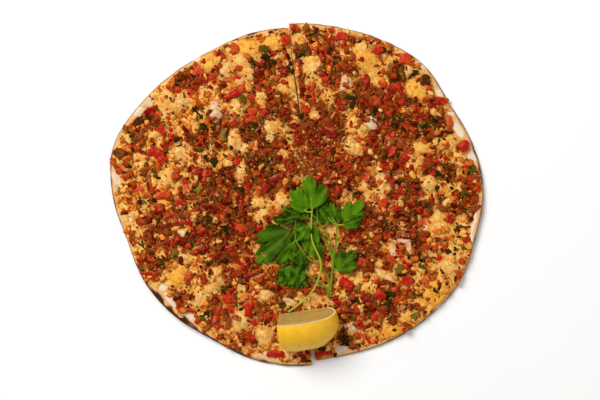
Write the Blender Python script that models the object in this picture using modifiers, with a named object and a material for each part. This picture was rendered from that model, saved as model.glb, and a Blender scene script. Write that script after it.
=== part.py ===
"""A lahmacun: a thin round of baked dough with a minced topping, cut in two, with parsley and lemon on it.

Run with: blender --background --python part.py
Metres, +Z up. The origin is on the surface that the bread lies on, under the middle of the served round.
The lists below give lengths in millimetres, because the pieces are small, and MM turns them into metres.
"""

import math
import random

import bmesh
import bpy
from mathutils import Matrix, Vector, noise
from mathutils.bvhtree import BVHTree

MM = 0.001
GAP = 0.3 * MM  # between pieces that touch

# --- The round, before it is cut ---------------------------------------------------------------
DOUGH_THICKNESS = 0.0027
TOPPING_THICKNESS = 0.0017
TOPPING_EDGE = 0.45  # share of its thickness that the topping keeps at its own edge
TOPPING_TAPER = 0.012  # how far in from its edge the topping reaches its full thickness
CLUMPS = 0.35  # share of the thickness by which it varies
CLUMP_LENGTH = 0.016
# How far the edge is from the middle, in mm, every 15 degrees from +X. The dough was pulled out by hand.
EDGE_RADII = (
    149, 145.5, 141, 143.5, 139.5, 136,
    135, 135.5, 135, 139, 145, 151.5,
    146.5, 139.5, 139, 136, 132.5, 135,
    136, 136.5, 140.5, 145, 149, 147.5,
)
BARE_RIM = 0.0030  # dough that the topping leaves bare all round
TOPPING_RIPPLE = 0.0007
# Places where the topping stops further in: bearing, depth in mm, half of the width in degrees.
RIM_NOTCHES = (
    (11, 6.5, 6),
    (22, 5.0, 6),
    (35, 4.5, 6),
    (150, 4.5, 7),
    (175, 6.5, 6),
    (219, 7.0, 9),
    (231, 5.0, 6),
    (260, 5.5, 6),
    (286, 5.5, 6),
    (350, 3.0, 9),
)
# The rim curls off the surface here: bearing, height in mm, half of the width in degrees.
RIM_CURLS = (
    (224, 4.2, 36),
    (178, 2.0, 18),
    (350, 2.2, 26),
    (55, 1.4, 20),
    (95, 0.8, 25),
)
CURL_START = 0.82  # share of the radius
RIM_LIP = 0.0009  # how much thicker the dough is just inside its edge
LIP_INSET = 0.0030
LIP_WIDTH = 0.0045
EDGE_LINE = 0.4  # share of the thickness at which the dough reaches furthest out
EDGE_DROP = 0.0013  # how much lower its top is right at the edge
EDGE_ROUND = 0.0022
CALM_RIM = 0.016  # blisters and waves fade over this distance from the edge
WAVINESS = 0.0006
WAVE_LENGTH = 0.055
BLISTER_SPREAD = 1.5  # how far a blister's foot reaches, as a share of its radius

# Blisters in the dough, in mm: x, y, radius, height.
BLISTERS = (
    (-70, 105, 8, 1.7),
    (-100, 74, 12, 1.6),
    (-36, 112, 12, 1.4),
    (-48, 68, 7, 1.4),
    (-8, 87, 8, 1.6),
    (-50, 42, 7, 1.5),
    (-103, 12, 8, 1.9),
    (-93, 34, 9, 1.4),
    (-66, -66, 8, 1.7),
    (-95, -66, 9, 1.6),
    (-45, -100, 8, 1.5),
    (-26, -112, 9, 1.8),
    (80, -106, 10, 1.7),
    (113, -80, 13, 1.6),
    (124, -55, 10, 1.7),
    (70, -65, 8, 1.4),
    (113, -26, 12, 1.8),
    (106, 9, 8, 1.9),
    (69, 6, 8, 1.5),
    (46, 37, 8, 1.5),
    (122, 42, 8, 1.4),
    (52, 56, 11, 1.8),
    (39, 87, 7, 1.8),
    (56, 108, 9, 1.6),
    (97, 82, 10, 1.7),
    (15, 104, 8, 1.5),
)

# --- The cut -----------------------------------------------------------------------------------
KNIFE_PATH = (
    (-10, 165),
    (-6.3, 137),
    (-3.2, 105),
    (1.2, 75),
    (3.2, 58),
    (6.2, 5),
    (9.6, -55),
    (13.2, -125),
    (15, -165),
)
KNIFE_REACH = 0.20  # to either side
CUT_TOP = Vector((-0.0063, 0.137, 0))
HALF_SLIP = 0.0018  # the halves have slid along the cut, each by this much
HALF_TURN = 0.30  # degrees that each half has turned about the top of the cut

# --- Pieces as large as berries, in mm: x, y, length, width, turn in degrees ----------------------
PIECE_HEIGHT = 0.0028
TOMATOES = (
    (-111.5, 32.5, 16, 9.5, -42),
    (28, 49, 10, 7.5, 35),
    (87, 108, 12.5, 8, -18),
    (76, 83, 9.5, 8, 40),
    (35.5, 126, 8, 7, -10),
    (133, 38, 9.5, 9, 20),
    (81, -12, 9, 5.5, -15),
    (69, -7, 9.5, 7, 25),
    (39.5, -72.5, 12, 8.5, -28),
    (66.5, -81, 7.5, 7, -40),
    (52, -55, 10, 7, 70),
    (-17, -128, 13.5, 6, 5),
    (-37.5, -91, 13.5, 5.5, 80),
    (-86, -66, 7.5, 6.5, 20),
    (-74, -68, 8, 6, -60),
    (-86.5, -22.5, 8, 6.5, -30),
    (-107, -1, 13, 6.5, 5),
    (-95, 13.5, 8.5, 5.5, -28),
    (-79, 18.5, 8.5, 7.5, -30),
    (-25.5, 4.5, 10.5, 7, 60),
    (73.5, -33, 8.5, 7, 20),
    (-26.5, 65.5, 8.5, 6.5, 30),
    (-36, 59.5, 10, 6, 15),
    (-10, 98, 9, 8, 60),
    (-50, 115.5, 8, 7, 70),
    (65, 115, 8.5, 6.5, 75),
    (-16, 13, 12, 6.5, 20),
    (88, -69.5, 8.5, 8, 10),
    (122, -20.5, 7, 6, 60),
    (-116.5, 67.5, 12, 4.5, 24),
)
RED_PEPPERS = (
    (-49, 81, 18, 6, 27),
    (-37, -65, 13, 4.5, 22),
    (2.6, 100, 14, 3.5, 96),
    (64, 73.5, 9, 6, 80),
    (58, -87.5, 11.5, 6.5, -50),
    (-78, -45, 13, 4.5, 27),
    (-122, -21, 12.5, 4.5, -3),
    (76.5, 33.5, 9.5, 7, 65),
    (-118, -50.5, 8, 4.5, -65),
)
GREEN_PEPPERS = (
    (-58.5, 48, 12, 6.5, 80),
    (-77.5, 4, 8.5, 5.5, 38),
    (-98, -47, 9.5, 6.5, 70),
    (96, -97.5, 9.5, 5, 32),
    (84, 96.5, 13, 4, 88),
    (49.5, -75, 9, 3.5, 95),
)
BURNT_LUMPS = (
    (-141, 32.5, 9.5, 9, 20),
    (102.5, 91.5, 9, 7, 35),
    (-126.5, 58, 9, 5.5, 25),
)

# --- The lemon wedge ------------------------------------------------------------------------------
LEMON_RADIUS = 0.021
LEMON_HALF_LENGTH = 0.0298
LEMON_BLUNTNESS = (2.5, 2.0)  # powers of the body's outline
LEMON_TURNS = 36  # faces round its skin
LEMON_STEPS = 14  # and along it
LEMON_END = 0.0164  # from the lemon's middle to the end that was trimmed off
LEMON_END_LEAN = 6  # degrees by which that end overhangs
LEMON_EDGE_BACK = 0.0096  # where its two cut faces meet: behind the lemon's axis
LEMON_EDGE_BELOW = 0.0090  # and below it
LEMON_WEDGE = 74  # degrees between the two cut faces
LEMON_PLACE = (-13.8, -95.9)  # in mm, where the trimmed end meets the inner edge
LEMON_BEARING = 8

# --- The parsley ----------------------------------------------------------------------------------
STEM_DIAMETER = 0.0017
STALK_DIAMETER = 0.0013
LEAF_THICKNESS = 0.0007
# A stem is the points it passes through, in mm: x, y and how far it is above what it lies on.
LONG_STEMS = (
    (
        (-6.5, -94.2, 1.4),
        (0, -89.5, 1.8),
        (8, -83, 2.8),
        (13, -77, 4.0),
        (17, -69, 5.4),
        (19, -62, 6.2),
        (19.5, -55.5, 6.5),
        (18, -50, 6.5),
        (15, -43.5, 6.3),
        (12.5, -37, 6.2),
        (11.5, -30, 6.2),
        (11.7, -22, 6.4),
        (12.3, -14, 6.8),
    ),
)
# A leaf is where its blade starts, its bearing, rise and roll in degrees, and its length and width in mm.
LONG_LEAVES = (
    (12.5, -12, 97, 5, 0, 23.5, 27),
    (8, -14, 128, 4, -6, 19, 15),
    (10, -25, 232, -2, 4, 14, 12),
)
BRANCHED_STEMS = (
    (
        (26.8, -82, 1.3),
        (27.5, -74, 1.5),
        (28.6, -66, 1.7),
        (29.4, -56, 2.0),
        (30.2, -48, 2.3),
        (31.6, -40, 2.6),
        (32.3, -32, 2.9),
        (31.8, -25, 3.1),
    ),
    (
        (24.8, -82, 1.3),
        (26, -75, 1.6),
        (28.2, -64, 2.1),
        (29.3, -52, 2.5),
        (28, -42, 2.9),
        (24.5, -33, 3.1),
        (20, -26.5, 3.1),
        (17, -22, 3.1),
    ),
    (
        (29.2, -58, 2.1),
        (27.5, -47.5, 2.5),
        (23.5, -38.5, 2.8),
        (18, -32, 2.8),
        (13.5, -28, 2.6),
    ),
    (
        (27.5, -74, 1.5),
        (24, -64, 2.0),
        (18, -57, 2.3),
        (10, -51.5, 2.4),
        (4, -44, 2.6),
        (0, -38, 2.6),
        (-1.5, -31, 2.5),
    ),
    (
        (26.8, -76, 1.5),
        (18, -71, 1.5),
        (11, -66, 1.5),
        (4, -60.5, 1.7),
    ),
)
BRANCHED_LEAVES = (
    (-1, -20.5, 178, 1, 4, 17, 10),
    (-4.5, -29.5, 223, 1, -4, 33, 33),
    (2, -56, 118, 8, 10, 14, 9),
    (3, -61, 210, 0, -4, 19, 19),
    (4.5, -64, 248, -2, 6, 12, 13),
    (30.5, -22, 122, 3, -6, 19, 13),
    (33, -23, 85, 6, 10, 14, 7),
    (38.5, -23.5, 52, 8, 6, 21, 18),
    (32.5, -61, 47, 6, -6, 19.5, 18),
    (17, -22, 95, 0, 0, 12, 10),
)
LEAF_LOBES = 3
LEAF_LOBE_DEPTH = 0.34
LEAF_TOOTH_DEPTH = 0.08
LEAF_POINTS = 19  # round the lobed edge
LEAF_SPREAD = 74  # degrees from the midrib to the outermost point
LEAF_NECK = 0.06  # width where the stalk joins, as a share of the leaf's width
STALK_REACH = 0.4  # share of the leaf that its stalk runs along
STEM_BED = 0.004  # a stem clears what lies within this distance of it

# --- How finely the round is divided ------------------------------------------------------------------
SPOKES = 64
# Shares of the way to the topping's edge.
TOPPED_RINGS = (0.13, 0.26, 0.38, 0.49, 0.60, 0.70, 0.80, 0.90, 1.0)
RIM_RINGS = (0.45, 0.85)  # shares of the way from there to the edge of the dough
UNDERSIDE_RINGS = (0.93, 0.81)  # shares of the edge's radius, where the underside curls


def clear_scene():
    for thing in list(bpy.data.objects):
        bpy.data.objects.remove(thing, do_unlink=True)


def new_collection(name):
    collection = bpy.data.collections.new(name)
    bpy.context.scene.collection.children.link(collection)
    return collection


def make_material(name, colour, roughness):
    material = bpy.data.materials.new(name)
    material.use_nodes = True
    shader = material.node_tree.nodes["Principled BSDF"]
    shader.inputs["Base Color"].default_value = (*colour, 1.0)
    shader.inputs["Roughness"].default_value = roughness
    shader.inputs["Metallic"].default_value = 0.0
    return material


def add_object(name, data, collection, material=None):
    thing = bpy.data.objects.new(name, data)
    collection.objects.link(thing)
    if material:
        data.materials.append(material)
    return thing


def hide_helper(thing):
    thing.hide_render = True
    thing.display_type = "WIRE"


def mesh_from_curve(thing, collection):
    """The curve as a mesh object with its caps welded. The curve is removed."""
    graph = bpy.context.evaluated_depsgraph_get()
    mesh = bpy.data.meshes.new_from_object(thing.evaluated_get(graph))
    shape = bmesh.new()
    shape.from_mesh(mesh)
    bmesh.ops.remove_doubles(shape, verts=shape.verts, dist=0.01 * MM)
    bmesh.ops.recalc_face_normals(shape, faces=shape.faces)
    shape.to_mesh(mesh)
    shape.free()
    made = add_object(thing.name + "_mesh", mesh, collection)
    made.matrix_world = thing.matrix_world
    bpy.data.objects.remove(thing, do_unlink=True)
    return made


# --- The round's shape ---------------------------------------------------------------------------------


def swell(away, reach):
    """1 where away is 0, falling smoothly to 0 where it is reach."""
    return 0.5 + 0.5 * math.cos(math.pi * min(1.0, abs(away) / reach))


def swell_round(bearing, centre, half_width):
    """The same round the edge, in degrees."""
    return swell((bearing - centre + 180) % 360 - 180, half_width)


def smooth_step(a, b, c, d, share):
    """A share of the way from b to c on a Catmull-Rom line, which has a before b and d after c."""
    bend = (2 * a - 5 * b + 4 * c - d) * share**2 + (3 * b - a - 3 * c + d) * share**3
    return (2 * b + (c - a) * share + bend) / 2


def edge_radius(angle):
    place = angle / math.tau * len(EDGE_RADII)
    before = math.floor(place)
    radii = (EDGE_RADII[(before + k) % len(EDGE_RADII)] * MM for k in (-1, 0, 1, 2))
    return smooth_step(*radii, place - before)


def topping_radius(angle):
    bearing = math.degrees(angle)
    notches = max(depth * MM * swell_round(bearing, centre, width) for centre, depth, width in RIM_NOTCHES)
    return edge_radius(angle) - BARE_RIM - notches + TOPPING_RIPPLE * math.sin(13 * angle)


def curl(radius, angle):
    """How high the underside is off the surface."""
    share = (radius / edge_radius(angle) - CURL_START) / (1 - CURL_START)
    if share <= 0:
        return 0.0
    bearing = math.degrees(angle)
    lifts = (height * MM * swell_round(bearing, centre, width) for centre, height, width in RIM_CURLS)
    return share**2 * sum(lifts)


def relief(x, y):
    """Waves and blisters in the dough, where the served round lies."""
    height = WAVINESS * (1 + noise.noise(Vector((x, y, 0)) / WAVE_LENGTH))
    for centre_x, centre_y, radius, rise in BLISTERS:
        away = math.hypot(x - centre_x * MM, y - centre_y * MM)
        height += rise * MM * swell(away, BLISTER_SPREAD * radius * MM)
    return height


def dough_top(local, served):
    """Height of the dough's upper side. It thins to a blunt edge and is a little thicker just inside it."""
    radius = math.hypot(local.x, local.y)
    angle = math.atan2(local.y, local.x)
    from_edge = edge_radius(angle) - radius
    calm = min(1.0, max(0.0, from_edge / CALM_RIM))
    lip = RIM_LIP * swell(from_edge - LIP_INSET, LIP_WIDTH)
    drop = EDGE_DROP * max(0.0, 1 - from_edge / EDGE_ROUND)
    return DOUGH_THICKNESS + relief(served.x, served.y) * calm + lip - drop + curl(radius, angle)


def turned_disc(name, profile, collection):
    """A profile of (ring, side) pairs turned round Z, as a mesh. Ring is the radius and side the height."""
    mesh = bpy.data.meshes.new(name)
    points = [(ring, 0, side) for ring, side in profile]
    mesh.from_pydata(points, [(i, i + 1) for i in range(len(points) - 1)], [])
    thing = add_object(name + "_profile", mesh, collection)
    screw = thing.modifiers.new("turn", "SCREW")
    screw.steps = SPOKES
    screw.render_steps = SPOKES
    screw.use_merge_vertices = True
    screw.merge_threshold = 0.0001
    graph = bpy.context.evaluated_depsgraph_get()
    turned = bpy.data.meshes.new_from_object(thing.evaluated_get(graph))
    bpy.data.objects.remove(thing, do_unlink=True)
    return turned


def rings_of_round():
    """The rings' names: whole numbers for topped rings, and the rest for the rim and the underside."""
    topped = list(range(1, len(TOPPED_RINGS) + 1))
    rim = [len(TOPPED_RINGS) + 1 + k for k in range(len(RIM_RINGS))]
    edge = rim[-1] + 1
    return topped, rim, edge


def ring_radius(ring, angle):
    """Where a ring of the turned disc ends up, at this angle."""
    topped, rim, edge = rings_of_round()
    if ring == 0:
        return 0.0
    if ring in topped:
        return TOPPED_RINGS[ring - 1] * topping_radius(angle)
    if ring in rim:
        inner, outer = topping_radius(angle), edge_radius(angle)
        return inner + (outer - inner) * RIM_RINGS[ring - rim[0]]
    if ring == edge:
        return edge_radius(angle)
    return UNDERSIDE_RINGS[ring - edge - 1] * edge_radius(angle)


def mould_disc(mesh, half_matrix, height_of):
    """Moves the turned disc's points to their places in the round, then lifts them by height_of."""
    shape = bmesh.new()
    shape.from_mesh(mesh)
    sides = {}
    for point in shape.verts:
        ring = round(math.hypot(point.co.x, point.co.y))
        angle = math.atan2(point.co.y, point.co.x)
        radius = ring_radius(ring, angle)
        sides[point.index] = point.co.z
        point.co = Vector((radius * math.cos(angle), radius * math.sin(angle), 0))
    # Split flat, so that dough and topping have the same folds.
    bmesh.ops.triangulate(shape, faces=shape.faces, quad_method="SHORT_EDGE")
    for point in shape.verts:
        point.co.z = height_of(point.co, half_matrix @ point.co, sides[point.index])
    shape.to_mesh(mesh)
    shape.free()


def dough_height(local, served, side):
    if side > 0:
        return dough_top(local, served)
    under = curl(math.hypot(local.x, local.y), math.atan2(local.y, local.x))
    return under if side < 0 else under + EDGE_LINE * DOUGH_THICKNESS


def topping_height(local, served, side):
    lower = dough_top(local, served) + GAP
    if side < 0:
        return lower
    angle = math.atan2(local.y, local.x)
    from_edge = topping_radius(angle) - math.hypot(local.x, local.y)
    share = min(1.0, TOPPING_EDGE + from_edge / TOPPING_TAPER)
    clumps = CLUMPS * noise.noise(Vector((served.x, served.y, 1)) / CLUMP_LENGTH)
    return lower + TOPPING_THICKNESS * (share + clumps)


def dough_mesh(name, half_matrix, collection):
    topped, rim, edge = rings_of_round()
    under = [edge + 2, edge + 1]
    profile = [(0, 1)] + [(ring, 1) for ring in topped + rim] + [(edge, 0)]
    profile += [(ring, -1) for ring in reversed(under)] + [(0, -1)]
    mesh = turned_disc(name, profile, collection)
    mould_disc(mesh, half_matrix, dough_height)
    return mesh


def topping_mesh(name, half_matrix, collection):
    topped, _, _ = rings_of_round()
    upper = [(ring, 1) for ring in topped]
    lower = [(ring, -1) for ring in reversed(topped)]
    profile = [(0, 1), *upper, *lower, (0, -1)]
    mesh = turned_disc(name, profile, collection)
    mould_disc(mesh, half_matrix, topping_height)
    return mesh


def knife_block(name, side, collection):
    """All that lies on one side of the cut: -1 is left and 1 is right."""
    outline = [Vector((x * MM, y * MM, 0)) for x, y in KNIFE_PATH]
    outline += [Vector((side * KNIFE_REACH, outline[end].y, 0)) for end in (-1, 0)]
    curve = bpy.data.curves.new(name, "CURVE")
    curve.dimensions = "2D"
    curve.fill_mode = "BOTH"
    curve.extrude = 0.05
    spline = curve.splines.new("POLY")
    spline.points.add(len(outline) - 1)
    for point, place in zip(spline.points, outline):
        point.co = (*place, 1)
    spline.use_cyclic_u = True
    block = mesh_from_curve(add_object(name, curve, collection), collection)
    hide_helper(block)
    return block


def half_placing(side):
    """How far this half has slid and turned from where it was cut."""
    slide = Matrix.Translation((0, side * HALF_SLIP, 0))
    turn = Matrix.Rotation(side * math.radians(HALF_TURN), 4, "Z")
    return slide @ Matrix.Translation(CUT_TOP) @ turn @ Matrix.Translation(-CUT_TOP)


def add_half(name, side, parts, helpers, whole, materials):
    """Dough and topping on one side of the cut, carried by an empty that has slid and turned."""
    placing = half_placing(side)
    carrier = bpy.data.objects.new("half_" + name, None)
    parts.objects.link(carrier)
    carrier.parent = whole
    carrier.matrix_basis = placing
    made = []
    for kind, build in (("dough", dough_mesh), ("topping", topping_mesh)):
        mesh = build(f"{kind}_{name}", placing, helpers)
        thing = add_object(f"{kind}_{name}", mesh, parts, materials[kind])
        cut = thing.modifiers.new("cut", "BOOLEAN")
        cut.operation = "INTERSECT"
        cut.object = knife_block(f"knife_{kind}_{name}", side, helpers)
        thing.parent = carrier
        cut.object.parent = carrier
        made.append(thing)
    return made


# --- What lies on the topping ----------------------------------------------------------------------------


class Bed:
    """The upper side of what is already in place, to lay things on."""

    def __init__(self, things):
        bpy.context.view_layer.update()
        graph = bpy.context.evaluated_depsgraph_get()
        self.trees = []
        for thing in things:
            shape = bmesh.new()
            shape.from_object(thing, graph)
            shape.transform(thing.matrix_world)
            self.trees.append(BVHTree.FromBMesh(shape))
            shape.free()

    def height(self, x, y):
        hits = [tree.ray_cast(Vector((x, y, 0.1)), Vector((0, 0, -1)))[0] for tree in self.trees]
        return max((hit.z for hit in hits if hit), default=0.0)

    def highest(self, places):
        return max(self.height(place.x, place.y) for place in places)

    def around(self, x, y, reach):
        """The highest that the bed is within reach of a point."""
        middle = Vector((x, y))
        turns = [math.radians(a) for a in range(0, 360, 45)]
        return self.highest([middle] + [middle + reach * Vector((math.cos(a), math.sin(a))) for a in turns])


def piece_mesh(name, length, width, chance):
    """A diced piece: a block with uneven corners, softened on its top and its sides."""
    shape = bmesh.new()
    bmesh.ops.create_cube(shape, size=1)
    soft = [edge for edge in shape.edges if any(corner.co.z > 0 for corner in edge.verts)]
    for corner in shape.verts:
        corner.co.x *= length * chance.uniform(0.84, 1.0)
        corner.co.y *= width * chance.uniform(0.80, 1.0)
        corner.co.z *= PIECE_HEIGHT * (chance.uniform(0.6, 1.0) if corner.co.z > 0 else 1.0)
    bmesh.ops.bevel(
        shape,
        geom=soft,
        offset=0.26 * PIECE_HEIGHT,
        segments=1,
        affect="EDGES",
        clamp_overlap=True,
    )
    mesh = bpy.data.meshes.new(name)
    shape.to_mesh(mesh)
    shape.free()
    return mesh


def add_pieces(kind, places, bed, parts, whole, material, seed):
    chance = random.Random(seed)
    made = []
    for number, (x, y, length, width, turn) in enumerate(places, 1):
        name = f"{kind}_{number:02d}"
        thing = add_object(name, piece_mesh(name, length * MM, width * MM, chance), parts, material)
        thing.rotation_euler = (0, 0, math.radians(turn))
        along = Vector((math.cos(math.radians(turn)), math.sin(math.radians(turn)), 0))
        across = Vector((-along.y, along.x, 0))
        middle = Vector((x * MM, y * MM, 0))
        steps = [k / 8 * MM for k in range(-4, 5)]
        under = [middle + a * length * along + b * width * across for a in steps for b in steps]
        thing.location = (middle.x, middle.y, bed.highest(under) + GAP + PIECE_HEIGHT / 2)
        thing.parent = whole
        made.append(thing)
    return made


def lemon_body():
    """The whole lemon's skin turned about its long axis, then laid along X."""
    first, second = LEMON_BLUNTNESS
    mesh = bpy.data.meshes.new("lemon_profile")
    points = []
    for k in range(LEMON_STEPS + 1):
        along = math.cos(math.pi * k / LEMON_STEPS)
        width = max(0.0, 1 - abs(along) ** first) ** (1 / second)
        points.append((LEMON_RADIUS * width, 0, LEMON_HALF_LENGTH * along))
    mesh.from_pydata(points, [(i, i + 1) for i in range(LEMON_STEPS)], [])
    profile = bpy.data.objects.new("lemon_profile", mesh)
    bpy.context.scene.collection.objects.link(profile)
    turn = profile.modifiers.new("turn", "SCREW")
    turn.steps = LEMON_TURNS
    turn.render_steps = LEMON_TURNS
    turn.use_merge_vertices = True
    turn.merge_threshold = 0.00005
    graph = bpy.context.evaluated_depsgraph_get()
    body = bmesh.new()
    body.from_mesh(bpy.data.meshes.new_from_object(profile.evaluated_get(graph)))
    bpy.data.objects.remove(profile, do_unlink=True)
    body.transform(Matrix.Rotation(math.radians(90), 4, "Y"))
    return body


def add_lemon(bed, parts, whole, material):
    """Cut level below, then along its other face, then across its end.

    The wedge is placed by the end of its inner edge, which lies along X before that.
    """
    body = lemon_body()
    wedge = math.radians(LEMON_WEDGE)
    lean = math.radians(LEMON_END_LEAN)
    end = Vector((-LEMON_END, LEMON_EDGE_BACK, -LEMON_EDGE_BELOW))
    cuts = (
        (end, Vector((0, 0, -1))),
        (end, Vector((0, math.sin(wedge), math.cos(wedge)))),
        (end, Vector((-math.cos(lean), 0, -math.sin(lean)))),
    )
    for place, normal in cuts:
        everything = body.verts[:] + body.edges[:] + body.faces[:]
        cut = bmesh.ops.bisect_plane(
            body, geom=everything, dist=1e-6, plane_co=place, plane_no=normal, clear_outer=True
        )
        rim = [edge for edge in cut["geom_cut"] if isinstance(edge, bmesh.types.BMEdge)]
        bmesh.ops.holes_fill(body, edges=rim, sides=0)
    body.transform(Matrix.Translation(-end))
    bmesh.ops.remove_doubles(body, verts=body.verts, dist=0.02 * MM)
    bmesh.ops.recalc_face_normals(body, faces=body.faces)
    mesh = bpy.data.meshes.new("lemon_wedge")
    body.to_mesh(mesh)
    body.free()
    mesh.shade_smooth()
    mesh.set_sharp_from_angle(angle=math.radians(35))
    thing = add_object("lemon_wedge", mesh, parts, material)
    placing = Matrix.Translation(Vector((*LEMON_PLACE, 0)) * MM)
    placing @= Matrix.Rotation(math.radians(LEMON_BEARING), 4, "Z")
    length = LEMON_END + LEMON_HALF_LENGTH
    depth = LEMON_EDGE_BACK + LEMON_RADIUS
    shares = [k / 10 for k in range(11)]
    under = [placing @ Vector((a * length, -b * depth, 0)) for a in shares for b in shares]
    placing.translation.z = bed.highest(under) + GAP
    thing.matrix_basis = placing
    thing.parent = whole
    return thing


def smooth_route(knots, per_span):
    """A line through the knots, so that a stem has no kinks."""
    knots = [2 * knots[0] - knots[1], *knots, 2 * knots[-1] - knots[-2]]
    route = []
    for a, b, c, d in zip(knots, knots[1:], knots[2:], knots[3:]):
        route += [smooth_step(a, b, c, d, k / per_span) for k in range(per_span)]
    return [*route, knots[-2]]


def poly_curve(name, places, closed=False):
    curve = bpy.data.curves.new(name, "CURVE")
    spline = curve.splines.new("POLY")
    spline.points.add(len(places) - 1)
    for point, place in zip(spline.points, places):
        point.co = (*place, 1)
    spline.use_cyclic_u = closed
    return curve


def add_stem(name, route, diameter, collection):
    curve = poly_curve(name, route)
    curve.dimensions = "3D"
    curve.bevel_depth = diameter / 2
    curve.bevel_resolution = 1
    curve.use_fill_caps = True
    return mesh_from_curve(add_object(name, curve, collection), collection)


def leaf_outline(length, width):
    """The lobed, toothed edge of a flat leaf, whose stalk end is at the origin and tip at +X."""
    neck = LEAF_NECK * width / 2
    outline = [Vector((0, -neck, 0))]
    for k in range(LEAF_POINTS):
        share = 2 * k / (LEAF_POINTS - 1) - 1
        lobe = abs(math.cos(0.5 * math.pi * LEAF_LOBES * share)) ** 0.6
        tooth = LEAF_TOOTH_DEPTH * (k % 2)
        reach = (1 - LEAF_LOBE_DEPTH * (1 - lobe)) * (1 - tooth) * (1 - 0.3 * share**2)
        angle = math.radians(LEAF_SPREAD) * share
        outline.append(Vector((length * reach * math.cos(angle), 0.62 * width * reach * math.sin(angle), 0)))
    outline.append(Vector((0, neck, 0)))
    return outline


def add_leaf(name, outline, placing, collection):
    curve = poly_curve(name, outline, closed=True)
    curve.dimensions = "2D"
    curve.fill_mode = "BOTH"
    curve.extrude = LEAF_THICKNESS / 2
    leaf = add_object(name, curve, collection)
    leaf.matrix_world = placing
    bpy.context.view_layer.update()
    return mesh_from_curve(leaf, collection)


def leaf_placing(x, y, bearing, rise, roll):
    place = Matrix.Translation(Vector((x, y, 0)) * MM)
    turn = Matrix.Rotation(math.radians(bearing), 4, "Z")
    pitch = Matrix.Rotation(math.radians(-rise), 4, "Y")
    lean = Matrix.Rotation(math.radians(roll), 4, "X")
    return place @ turn @ pitch @ lean


def add_sprig(name, stems, leaves, bends, bed, parts, helpers, whole, material):
    """Stems, stalks and leaves joined into one solid. Bends is how many bends each stretch of a stem has."""
    members = bpy.data.collections.new(name + "_members")
    helpers.children.link(members)
    knots = []
    for number, points in enumerate(stems):
        places = [Vector(point) * MM for point in points]
        for place in places:
            place.z += bed.around(place.x, place.y, STEM_BED)
        knots += places
        add_stem(f"{name}_stem_{number}", smooth_route(places, bends), STEM_DIAMETER, members)
    for number, (x, y, bearing, rise, roll, length, width) in enumerate(leaves):
        placing = leaf_placing(x, y, bearing, rise, roll)
        outline = leaf_outline(length * MM, width * MM)
        base = placing.translation
        start = min(knots, key=lambda knot: (knot.xy - base.xy).length)
        edge = [placing @ point for point in outline]
        clear = max(bed.height(point.x, point.y) - point.z for point in edge) + LEAF_THICKNESS + GAP
        placing.translation.z = max(clear, start.z)
        add_leaf(f"{name}_leaf_{number}", outline, placing, members)
        stalk = [start, placing.translation.copy(), placing @ Vector((STALK_REACH * length * MM, 0, 0))]
        add_stem(f"{name}_stalk_{number}", stalk, STALK_DIAMETER, members)
    trunk = members.objects[0]
    members.objects.unlink(trunk)
    parts.objects.link(trunk)
    trunk.name = name
    trunk.data.materials.append(material)
    trunk.parent = whole
    join = trunk.modifiers.new("join", "BOOLEAN")
    join.operation = "UNION"
    join.operand_type = "COLLECTION"
    join.collection = members
    for thing in members.objects:
        hide_helper(thing)
    return trunk


def centre_whole(whole, parts):
    """Moves the whole so that the origin is under the middle of it."""
    bpy.context.view_layer.update()
    graph = bpy.context.evaluated_depsgraph_get()
    corners = []
    for thing in parts.objects:
        if thing.type != "MESH":
            continue
        evaluated = thing.evaluated_get(graph)
        corners += [evaluated.matrix_world @ Vector(corner) for corner in evaluated.bound_box]
    for axis in (0, 1):
        values = [corner[axis] for corner in corners]
        whole.location[axis] -= (min(values) + max(values)) / 2
    print("centred by", [round(v / MM, 2) for v in whole.location], "mm")


def build_lahmacun():
    clear_scene()
    parts = new_collection("Lahmacun")
    helpers = new_collection("Cutters")
    whole = bpy.data.objects.new("lahmacun", None)
    parts.objects.link(whole)
    materials = {
        "dough": make_material("dough", (0.86, 0.68, 0.42), 0.75),
        "topping": make_material("topping", (0.52, 0.23, 0.07), 0.6),
        "tomato": make_material("tomato", (0.62, 0.06, 0.02), 0.3),
        "red_pepper": make_material("red_pepper", (0.50, 0.02, 0.02), 0.3),
        "green_pepper": make_material("green_pepper", (0.22, 0.26, 0.03), 0.35),
        "burnt_mince": make_material("burnt_mince", (0.09, 0.03, 0.015), 0.6),
        "lemon": make_material("lemon", (0.88, 0.66, 0.05), 0.4),
        "parsley": make_material("parsley", (0.09, 0.30, 0.02), 0.5),
    }
    _, left_topping = add_half("left", -1, parts, helpers, whole, materials)
    _, right_topping = add_half("right", 1, parts, helpers, whole, materials)
    toppings = [left_topping, right_topping]
    bed = Bed(toppings)
    pieces = add_pieces("tomato", TOMATOES, bed, parts, whole, materials["tomato"], seed=3)
    pieces += add_pieces("red_pepper", RED_PEPPERS, bed, parts, whole, materials["red_pepper"], seed=5)
    pieces += add_pieces("green_pepper", GREEN_PEPPERS, bed, parts, whole, materials["green_pepper"], seed=7)
    pieces += add_pieces("burnt_lump", BURNT_LUMPS, bed, parts, whole, materials["burnt_mince"], seed=9)
    bed = Bed(toppings + pieces)
    add_lemon(bed, parts, whole, materials["lemon"])
    parsley = materials["parsley"]
    add_sprig("parsley_branched", BRANCHED_STEMS, BRANCHED_LEAVES, 1, bed, parts, helpers, whole, parsley)
    add_sprig("parsley_long", LONG_STEMS, LONG_LEAVES, 2, bed, parts, helpers, whole, parsley)
    centre_whole(whole, parts)


build_lahmacun()
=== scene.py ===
"""Lahmacun: the finish of a thin round of baked dough under minced meat, cut in two, with lemon and parsley.

Laid out as an add-on, and run as a script. Metres, +Z up, in the frame of the solid parts.
The lists give lengths in millimetres, because most pieces are small, and MM turns them into metres.
A place in plan is one complex number, x + iy, so that turning it is a multiplication.
"""

import math
from contextlib import contextmanager

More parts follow.
